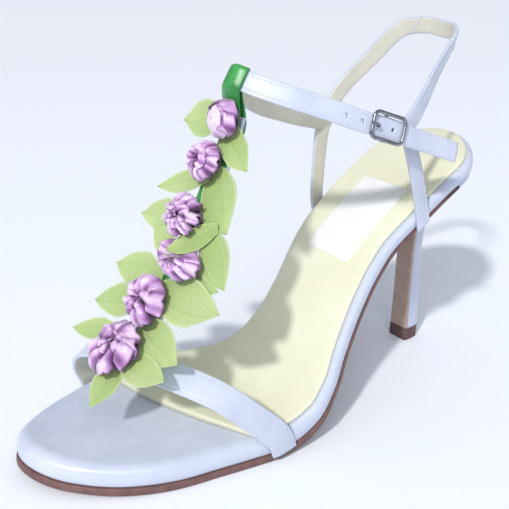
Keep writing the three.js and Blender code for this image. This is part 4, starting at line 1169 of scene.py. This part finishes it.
def cut_under_board(obj, along, above):
    """Cuts a strap off along the board's underside, or a little above it."""
    s = length_at(along)
    ty, tz = line_at(s)[3:]
    cut_by_plane(obj, place(0, s, underside(s) + above), (0, tz, -ty))


def tube(name, points, normal, wire, closed, material, sides=14):
    n = len(points)
    verts = []
    for i, p in enumerate(points):
        before = points[(i - 1) % n] if closed else points[max(0, i - 1)]
        after = points[(i + 1) % n] if closed else points[min(n - 1, i + 1)]
        across = (after - before).cross(normal).normalized()
        for k in range(sides):
            turn = k / sides * 2 * math.pi
            verts.append(p + across * (math.cos(turn) * wire / 2) + normal * (math.sin(turn) * wire / 2))
    faces = ring_faces(n, sides)
    if closed:
        last = (n - 1) * sides
        faces += [(last + k, last + (k + 1) % sides, (k + 1) % sides, k) for k in range(sides)]
    else:
        faces += end_faces(n, sides)
    return make_welded(name, verts, faces, [material])


def rounded_path(corners, radius, closed, steps=10):
    points = []
    n = len(corners)
    for i, corner in enumerate(corners):
        if not closed and i in (0, n - 1):
            points.append(corner.copy())
            continue
        before = (corners[(i - 1) % n] - corner).normalized()
        after = (corners[(i + 1) % n] - corner).normalized()
        centre = corner + before * radius + after * radius
        for k in range(steps + 1):
            turn = k / steps * math.pi / 2
            points.append(centre - after * (radius * math.cos(turn)) - before * (radius * math.sin(turn)))
    return points


FRAME_CORNER = 2.2
# The prong's line, in shares of the frame's length: along, height.
PRONG = [
    (0.078, -0.119), (0.056, -0.181), (0, -0.2), (-0.06, -0.181), (-0.163, -0.148), (-0.225, -0.1),
    (-0.246, -0.031), (-0.25, 0.056), (-0.272, 0.144), (-0.337, 0.203), (-0.437, 0.219), (-0.52, 0.2),
]


def buckle():
    long = (FRAME_LENGTH - FRAME_WIRE) / 2
    half = ANKLE_WIDTH / 2 + GAP + STAPLE_WIRE / 2
    lift = STRAP_THICKNESS / 2 + GAP + FRAME_WIRE / 2
    drop = STRAP_THICKNESS / 2 + GAP + STAPLE_WIRE / 2
    corners = [at_buckle(a * long, b * half, lift) for a, b in ((1, 1), (-1, 1), (-1, -1), (1, -1))]
    rail = rounded_path(corners, FRAME_CORNER, True)
    own(tube("buckle_rails", rail, BUCKLE_FACE, FRAME_WIRE, True, METAL, 16), "buckle", "buckle_frame")
    legs = [at_buckle(0, b * half, h) for b, h in ((1, lift), (1, -drop), (-1, -drop), (-1, lift))]
    staple = rounded_path(legs, STAPLE_WIRE, False)
    own(tube("buckle_staple", staple, BUCKLE_ALONG, STAPLE_WIRE, False, METAL), "buckle", "buckle_frame")
    line = Curve([at_buckle(a * FRAME_LENGTH, 0, h * FRAME_LENGTH) for a, h in PRONG])
    tongue = [Vector(line.at(t)) for t in spread(80)]
    own(tube("buckle_tongue", tongue, BUCKLE_ACROSS, PRONG_WIRE, False, METAL), "buckle", "buckle_prong")


# The green ribbon: where it starts and ends on the bar, and how far it reaches below the strap's middle.
RIBBON_FOOT = 0.08
RIBBON_TAIL = 0.84
RIBBON_DOWN_FRONT = 5.2
RIBBON_DOWN_BACK = 4.0
RIBBON_RIPPLE = 0.16


def ribbon():
    """The green ribbon with soft ripples, up the bar, over the ankle strap and down behind it."""
    lift = STRAP_THICKNESS / 2 + GAP + RIBBON_THICKNESS / 2
    low, high = 0.0, 1.0
    for _ in range(30):
        middle = (low + high) / 2
        if ANKLE_LINE.at(middle)[0].x < BAR_HEAD[0]:
            low = middle
        else:
            high = middle
    reach = RIBBON_WIDTH / 2

    def on_strap(height, out, turn):
        def at(column):
            point, _, face, across = ANKLE_LINE.at(low + column * reach / ANKLE_LINE.length)
            way = face * math.sin(turn) - across * math.cos(turn)
            return point - across * height + face * out, way
        return at

    def on_bar(share, side):
        def at(column):
            point, _, face, across = BAR_LINE.at(share)
            return point + face * (side * lift) + across * (column * reach), face * side
        return at

    top = ANKLE_WIDTH / 2 + GAP + RIBBON_THICKNESS / 2 - lift
    behind = lift + RIBBON_SLACK
    rows = [on_bar(share, 1) for share in spread(40, RIBBON_FOOT, 1)]
    joins = [(len(rows) - 1, 5)]
    rows += [on_strap(height, lift, math.pi / 2) for height in spread(8, -RIBBON_DOWN_FRONT, top)]
    for degrees in range(75, -76, -15):
        turn = math.radians(degrees)
        out = (lift if turn > 0 else behind) * math.sin(turn)
        rows.append(on_strap(top + lift * math.cos(turn), out, turn))
    rows += [on_strap(height, -behind, -math.pi / 2) for height in spread(6, top, -RIBBON_DOWN_BACK)]
    joins.append((len(rows) - 1, 6))
    rows += [on_bar(share, -1) for share in spread(8, 1, RIBBON_TAIL)]
    cols = spread(12, -1, 1)
    net, way = (np.array([[tuple(row(c)[k]) for c in cols] for row in rows]) for k in (0, 1))
    # the runs on the bar and on the strap are joined smoothly
    for _ in range(2):
        inner = (net[:-2] + 2 * net[1:-1] + net[2:]) / 4
        for first, count in joins:
            net[first:first + count] = inner[first - 1:first - 1 + count]

    def surface(side):
        def at(i, j):
            wide = abs(cols[j])
            ripple = RIBBON_RIPPLE * math.sin(i * 0.55 + 1.7 * cols[j]) * (0.4 + 0.6 * wide)
            thick = RIBBON_THICKNESS * (0.5 if wide < 0.9 else 0.62)
            return tuple(net[i][j] + way[i][j] * (side * thick * 0.8 + max(0.0, ripple) * 0.5))
        return at

    obj = grid_body(
        "green_ribbon_satin", range(len(rows)), range(len(cols)), surface(1), surface(-1), [RIBBON]
    )
    own(obj, "green_ribbon", "green_ribbon")


LEAF_WIDTH_AT = column(LEAF_OUTLINE, 1)
LEAF_RIBS = 17
LEAF_RIB_HEIGHT = 0.045
LEAF_FREE_LIFT = 1.3
LEAF_HALF_CLOTH = 0.11
LEAF_HEM = 0.06
LEAF_WAVE = 0.12
LEAF_FLUTTER = 0.035
# leaf number: fold's place across the leaf, rise beyond it, rib height
LEAF_FOLDS = {
    4: (0.15, 0.10, 0.13),
    8: (0.3, 0.12, 0.06),
    9: (0.1, 0.16, 0.045),
    10: (-0.35, 0.12, 0.045),
    13: (-0.42, 0.3, 0.045),
}


def leaf_axis(row):
    start = np.array([row[1] * LEAF_REACH, row[0] * BAR_LENGTH])
    end = np.array([row[3] * LEAF_REACH, row[2] * BAR_LENGTH])
    length = np.linalg.norm(end - start)
    way = (end - start) / length
    return start, length, way, np.array([-way[1], way[0]])


def leaf_half(row, u):
    return LEAF_WIDTH_AT(u) * row[4] * LEAF_WIDTH / 2


def leaf_level(row, u):
    return LEAF_BASE + (row[5] + row[6] * u * u) * LEAF_PITCH


def leaf(number, row):
    """A cupped organza leaf in its own layer, with a middle fold, fanned ribs and a thin hem."""
    start, length, way, side = leaf_axis(row)
    shake = random.Random(number)
    phase = shake.uniform(0, 2 * math.pi)
    turn = shake.choice((-1, 1)) * shake.uniform(0.5, 1.0)
    plain = (shake.uniform(-0.25, 0.25), 0.05, LEAF_RIB_HEIGHT)
    fold_at, fold_rise, rib_height = LEAF_FOLDS.get(number, plain)
    shade = shake.uniform(-0.09, 0.12)

    def rib(v):
        return rib_height * math.cos(v * LEAF_RIBS * math.pi)

    def height(u, v):
        cup = LEAF_CUP * v * v * LEAF_WIDTH_AT(u)
        ribs = rib(v) * smooth(u / 0.15) * (1 - smooth((abs(v) - 0.8) / 0.15))
        beyond = max(0.0, (v - fold_at) if fold_at >= 0 else (fold_at - v))
        fold = fold_rise * beyond * leaf_half(row, u) * smooth(u / 0.3)
        fold -= 0.1 * bell(v - fold_at, 0.05) * smooth(u / 0.1)
        curl = LEAF_FREE_LIFT * smooth((u - 0.6) / 0.4) * (0.35 + 0.65 * v * turn) * (0.6 if row[5] else 1.0)
        wave = LEAF_WAVE * math.sin(u * 7 + phase + 2 * v) * smooth(u / 0.3)
        return leaf_level(row, u) + cup + ribs + fold + curl + wave

    def surface(offset):
        def at(u, v):
            flutter = 1 + LEAF_FLUTTER * math.sin(u * 11 + phase) * smooth(u / 0.2)
            across, along = start + way * length * u + side * (leaf_half(row, u) * v * flutter)
            cloth = LEAF_HALF_CLOTH + (LEAF_HEM if abs(v) > 0.93 else 0.0)
            return bar_at(along, across, height(u, v) + LEAF_THICKNESS / 2 + offset * cloth)
        return at

    # The edge value: the hem lighter, painted shade along the fold, painted light on the side beyond the
    # fold, painted light and shade over the ribs, lighter towards the tip, and shade, a random tone for each
    # leaf.
    def edge(u, v):
        rim = smooth((abs(v) - 0.86) / 0.08) * 0.35
        crease = 0.12 * bell(v - fold_at, 0.05)
        painted_side_light = 0.08 if (v > fold_at) == (fold_at >= 0) else 0.0
        return clamp01(0.17 + shade + painted_side_light + rim + 0.2 * u - crease + rib(v))

    cols = [-1, -0.965, -0.93] + spread(52, -0.9, 0.9) + [0.93, 0.965, 1]
    obj = grid_body(
        f"leaf_{number}_organza", spread(34), cols, surface(1), surface(-1), [ORGANZA],
        uv=lambda u, v: (u * length * 0.1, v * leaf_half(row, LEAF_WIDEST) * 0.1), attrs={"edge": edge},
    )
    own(obj, "leaf_organza", f"leaf_{number}")


PETAL_CLOTH = 0.26
# flower number: the leaf that lies on it
COVERS = {4: 6}
COVER_GAP = 0.3
COVER_MARGIN = 0.5
COVER_SLOPE = 2.2


class Rosette:
    """Collects a flower's petals in one mesh, in the frame of its place on the bar."""

    def __init__(self, number, under=0.7):
        self.number = number
        self.rise, self.across, self.width, self.length = FLOWERS[number - 1]
        self.verts = []
        self.faces = []
        self.fold = []
        self.uvs = []
        # the cushion under the petals takes the lowest fold value, the deepest painted shade
        self.dome(under, 0.1, 1.0, 0.1)

    def add(self, turn, out, height, fold, uv):
        along = self.rise * BAR_LENGTH + math.sin(turn) * out * self.length * FLOWER_SIZE / 2
        across = self.across * LEAF_REACH + math.cos(turn) * out * self.width * FLOWER_SIZE / 2
        if self.number in COVERS:
            height = self.pressed(along, across, height)
        self.verts.append(bar_at(along, across, FLOWER_BASE + height))
        self.fold.append(clamp01(fold))
        self.uvs.append(uv)

    def pressed(self, along, across, height):
        """The height under the leaf that lies on this flower."""
        row = LEAVES[COVERS[self.number] - 1]
        start, length, way, side = leaf_axis(row)
        offset = np.array([across, along]) - start
        u = float(offset @ way) / length
        past_edge = abs(float(offset @ side)) - leaf_half(row, clamp01(u)) - COVER_MARGIN
        beside = max(0.0, past_edge, (u - 1) * length - COVER_MARGIN)
        level = leaf_level(row, clamp01(u)) - FLOWER_BASE - COVER_GAP
        return min(height, max(0.1, level) + COVER_SLOPE * beside)

    def petal(self, angle, wide, inner=0.05, outer=1.0, low=4.5, top=8.2, end=4.6, arch=1.1, point=0.3,
              over=0.6, pleats=2, pleat=0.3, crest=0.62, corner=0.05, dark=0.0, seed=0, rows=22, cols=24):
        """One gathered petal: it rises from the hub to a crest, bends over its rim, and laps the next one."""
        base = len(self.verts)
        shake = random.Random(self.number * 100 + seed)
        phase = shake.uniform(0, math.pi)
        lean = shake.uniform(-0.16, 0.16)
        reach = outer * shake.uniform(0.93, 1.05)
        drop = shake.uniform(-0.6, 0.6)
        for u in spread(rows):
            for j in range(cols + 1):
                v = -1 + 2 * j / cols
                narrow = 1 - point * smooth((u - 0.4) / 0.6)
                turn = math.radians(angle + wide * v * narrow) + lean * u
                rim = 1 - 0.2 * v * v + corner * bell(abs(v) - 0.72, 0.16)
                out = mix(inner, reach * mix(1, rim, smooth(u * 1.3)), u)
                if u < crest:
                    height = low + (top - low) * math.sin(u / crest * math.pi / 2)
                else:
                    height = top + (end + drop - top) * ((u - crest) / (1 - crest)) ** 1.8
                # sharp ridges and soft valleys, gathered at the hub
                ridge = abs(math.sin(v * math.pi * pleats / 2 + phase))
                height += 1.5 * pleat * (1 - 2 * ridge ** 0.6) * (0.5 + 0.8 * u) * smooth(u * 3)
                height -= arch * abs(v) ** 2.2 * smooth(u * 2.2)
                height += over * v * smooth(u * 2)
                crumple = noise.noise(Vector((out * 3.1 + self.number, turn * 2.2, seed * 1.7)))
                height += 0.7 * crumple * smooth(u * 2)
                # painted shade and highlight: the fold value is darker at the hub, at the petal's sides, in
                # the pleats' valleys and at the rim, and lighter where the crumples rise
                fold = 0.14 + 0.6 * smooth(u / 0.55) - 0.6 * abs(v) ** 3 - 0.62 * ridge ** 4 * (1 - 0.4 * u)
                fold += 0.45 * crumple - dark - 0.35 * smooth((u - 0.95) / 0.05)
                self.add(turn, out, max(0.35, height), fold, (u * 0.1, v * 0.1))
        step = cols + 1
        for i in range(rows):
            for a in range(base + i * step, base + i * step + cols):
                self.faces.append((a, a + 1, a + 1 + step, a + step))

    def ring(self, angles, wide, seed=0, **shape):
        """A ring of petals. wide is one half width in degrees for all, or one for each."""
        for k, half in enumerate(np.broadcast_to(wide, len(angles)).tolist()):
            self.petal(angles[k], half, seed=seed + k, **shape)

    def dome(self, reach, low, top, value, rings=8, sides=40, crease=None):
        """A shallow cushion at the middle or under the petals."""
        base = len(self.verts)
        for u in spread(rings):
            for k in range(sides):
                turn = k / sides * 2 * math.pi
                height = low + (top - low) * math.cos(u * math.pi / 2)
                fold = value
                if crease is not None:
                    off = math.sin(turn - math.radians(crease)) * u
                    height += -0.45 * bell(off, 0.09) + (0.3 if off > 0 else 0.0)
                    height += 0.12 * math.cos(turn * 5 + u * 6)
                    # painted shade along the crease
                    fold -= 0.45 * bell(off, 0.07)
                uv = (math.cos(turn) * u * 0.05, math.sin(turn) * u * 0.05)
                self.add(turn, reach * u + 0.002, height, fold, uv)
        self.faces += [(a, d, c, b) for a, b, c, d in ring_faces(rings + 1, sides, base)]
        self.faces.append(tuple(base + k for k in range(sides)))

    def finish(self):
        name = f"flower_{self.number}_ribbon"
        # the fold attribute carries the painted shade and highlight to the lilac material
        obj = make(name, self.verts, self.faces, [LILAC], uvs=self.uvs, attrs={"fold": self.fold})
        cloth = obj.modifiers.new("cloth", "SOLIDIFY")
        cloth.thickness = PETAL_CLOTH * MM
        cloth.offset = 0
        own(obj, "lilac_ribbon", f"flower_{self.number}")


# The rosebud's wrapping crescents: angle, reach, top, dark
BUD_PETALS = [
    (60, 1.02, 6.6, 0.2),
    (-5, 1.02, 6.4, 0.14),
    (-70, 1.0, 6.2, 0.08),
    (130, 1.0, 6.2, 0.2),
    (195, 0.98, 5.6, 0.05),
    (250, 0.97, 5.6, 0.05),
    (30, 0.94, 7.4, 0.22),
    (95, 0.92, 7.2, 0.26),
    (-35, 0.92, 7.0, 0.12),
]
FAN_ANGLES = (195, 230, 260, 290, 320, 352, 28, 152, 112, 70)
FAN_WIDTHS = (32, 30, 28, 28, 28, 30, 32, 28, 26, 30)


def around(count, start=0):
    return [start + k * 360 / count for k in range(count)]


def flowers():
    # The rosebud: a creased pale disc, wrapped by crescents at its upper right.
    bud = Rosette(1, 0.72)
    for k, (angle, outer, top, dark) in enumerate(BUD_PETALS):
        bud.petal(angle, 54, inner=0.42, outer=outer, low=5.2, top=top, end=2.4, arch=0.6, point=0.2,
                  over=0.8, pleats=1, pleat=0.2, crest=0.4, corner=0, dark=dark, seed=k)
    bud.dome(0.76, 5.4, 8.3, 0.9, rings=16, sides=64, crease=-42)
    bud.finish()

    # The crumpled rose: five broad petals, and two lips along a dark slit.
    rose = Rosette(2)
    rose.ring((15, 88, 160, 228, 300), 52, outer=1.05, top=6.6, end=3.6, arch=1.0, point=0.2,
              pleats=3, pleat=0.4, corner=0.1)
    rose.ring((-20, 62, 150, 236), 62, 10, inner=0.12, outer=0.72, low=4.2, top=8.6, end=7.0, arch=1.3,
              point=0.1, pleat=0.35, crest=0.6)
    rose.finish()

    # The spiky one: seven pleated petals with pointed corners, and a small raised hub.
    spiky = Rosette(3)
    spiky.ring(around(7, 10), 36, outer=1.1, top=6.8, end=4.0, arch=1.4, point=0.45, pleat=0.5, corner=0.08)
    spiky.ring(around(6, 35), 40, 20, outer=0.74, low=5.0, end=6.6, arch=1.3, pleat=0.4)
    spiky.ring(around(5), 46, 40, inner=0.02, outer=0.3, low=7.0, top=8.9, end=8.3, arch=0.5,
               pleats=1, pleat=0.1, rows=8, cols=10)
    spiky.finish()

    # The fan: broad shell folds below, narrow petals above left.
    fan = Rosette(4)
    fan.ring(FAN_ANGLES, FAN_WIDTHS, outer=1.07, top=6.9, end=3.4, arch=1.5, point=0.1, over=0.9,
             pleats=1, pleat=0.4, corner=0.06)
    fan.ring((215, 262, 310, 5), 32, 20, outer=0.66, low=5.4, top=8.0, end=6.6, arch=1.2, point=0.2, pleats=1)
    fan.finish()

    # The star: five big petals twisted round a small hub.
    star = Rosette(5)
    star.ring(around(5, 5), 50, outer=1.12, low=5.2, top=7.4, end=3.8, arch=1.8, point=0.28, over=1.1,
              pleat=0.5, corner=0.1)
    star.ring(around(5, 38), 36, 20, outer=0.66, low=6.2, top=8.4, end=7.0, arch=1.5, point=0.4, pleats=1)
    star.finish()

    # The open one: eight broad petals round a pleated hub.
    opened = Rosette(6)
    opened.ring(around(8, 30), 34, outer=1.08, low=5.6, top=7.0, end=4.2, arch=1.5, point=0.12, over=1.0,
                pleats=1, pleat=0.5, crest=0.7, corner=0.1)
    opened.ring(around(6, 50), 36, 20, outer=0.5, low=6.2, top=8.0, end=7.2, pleats=1)
    opened.finish()


# The camera, the floor and the lights, in metres.
EYE = (0.2256, -0.1288, 0.1832)
AZIMUTH = math.radians(54.34)
ELEVATION = math.radians(22.79)
ROLL = math.radians(0.25)
FOCAL_PIXELS = 745.82
PHOTO_SIZE = 509.0
SENSOR = 36.0
FLOOR_REACH = 4000.0
FLOOR_DROP = 0.02
KEY_WAY = Vector((-0.52, 1.0, -1.0))
FILL_PLACE = Vector((0.8, -0.5, 0.9))
FILL_AIM = Vector((0, 0.03, 0.05))


def look():
    level = math.cos(ELEVATION)
    back = Vector((math.sin(AZIMUTH) * level, -math.cos(AZIMUTH) * level, math.sin(ELEVATION)))
    right = Vector((math.cos(AZIMUTH), math.sin(AZIMUTH), 0))
    up = back.cross(right)
    turned = right * math.cos(ROLL) + up * math.sin(ROLL)
    upright = up * math.cos(ROLL) - right * math.sin(ROLL)
    matrix = Matrix((turned, upright, back)).transposed().to_4x4()
    matrix.translation = Vector(EYE)
    data = bpy.data.cameras.new("camera")
    data.sensor_width = SENSOR
    data.sensor_fit = "HORIZONTAL"
    data.lens = FOCAL_PIXELS / PHOTO_SIZE * SENSOR
    data.clip_start = 0.01
    data.clip_end = 20
    cam = bpy.data.objects.new("camera", data)
    cam.matrix_world = matrix
    bpy.context.scene.collection.objects.link(cam)
    bpy.context.scene.camera = cam


def lamp(name, kind, way, location=(0, 0, 0), **settings):
    light = bpy.data.lights.new(name, kind)
    for key, value in settings.items():
        setattr(light, key, value)
    obj = bpy.data.objects.new(name, light)
    obj.location = location
    obj.rotation_euler = way.to_track_quat("-Z", "Y").to_euler()
    bpy.context.scene.collection.objects.link(obj)


def stage():
    n = Nodes("pale_floor", Roughness=0.75, Base_Color=(0.885, 0.915, 0.975, 1), Specular_IOR_Level=0.2)
    signs = ((-1, -1), (1, -1), (1, 1), (-1, 1))
    corners = [(a * FLOOR_REACH, b * FLOOR_REACH, -FLOOR_DROP) for a, b in signs]
    make("floor", corners, [(0, 1, 2, 3)], [n.material])
    world = bpy.data.worlds.new("pale_room")
    bpy.context.scene.world = world
    world.use_nodes = True
    background = world.node_tree.nodes["Background"]
    background.inputs["Color"].default_value = (0.86, 0.905, 1.0, 1)
    background.inputs["Strength"].default_value = 0.52
    lamp("key", "SUN", KEY_WAY, energy=2.2, angle=math.radians(4), color=(1.0, 0.985, 0.955))
    lamp("fill", "AREA", FILL_AIM - FILL_PLACE, FILL_PLACE, shape="DISK", size=0.8, energy=4.0,
         color=(0.9, 0.94, 1.0))
    view = bpy.context.scene.view_settings
    view.view_transform = "Standard"
    view.look = "None"
    view.exposure = 0.0


board()
outsole()
heel()
breast_flap()
top_lift()
sock()
label()
straps()
buckle()
ribbon()
for leaf_number, leaf_row in enumerate(LEAVES, 1):
    leaf(leaf_number, leaf_row)
flowers()
look()
stage()
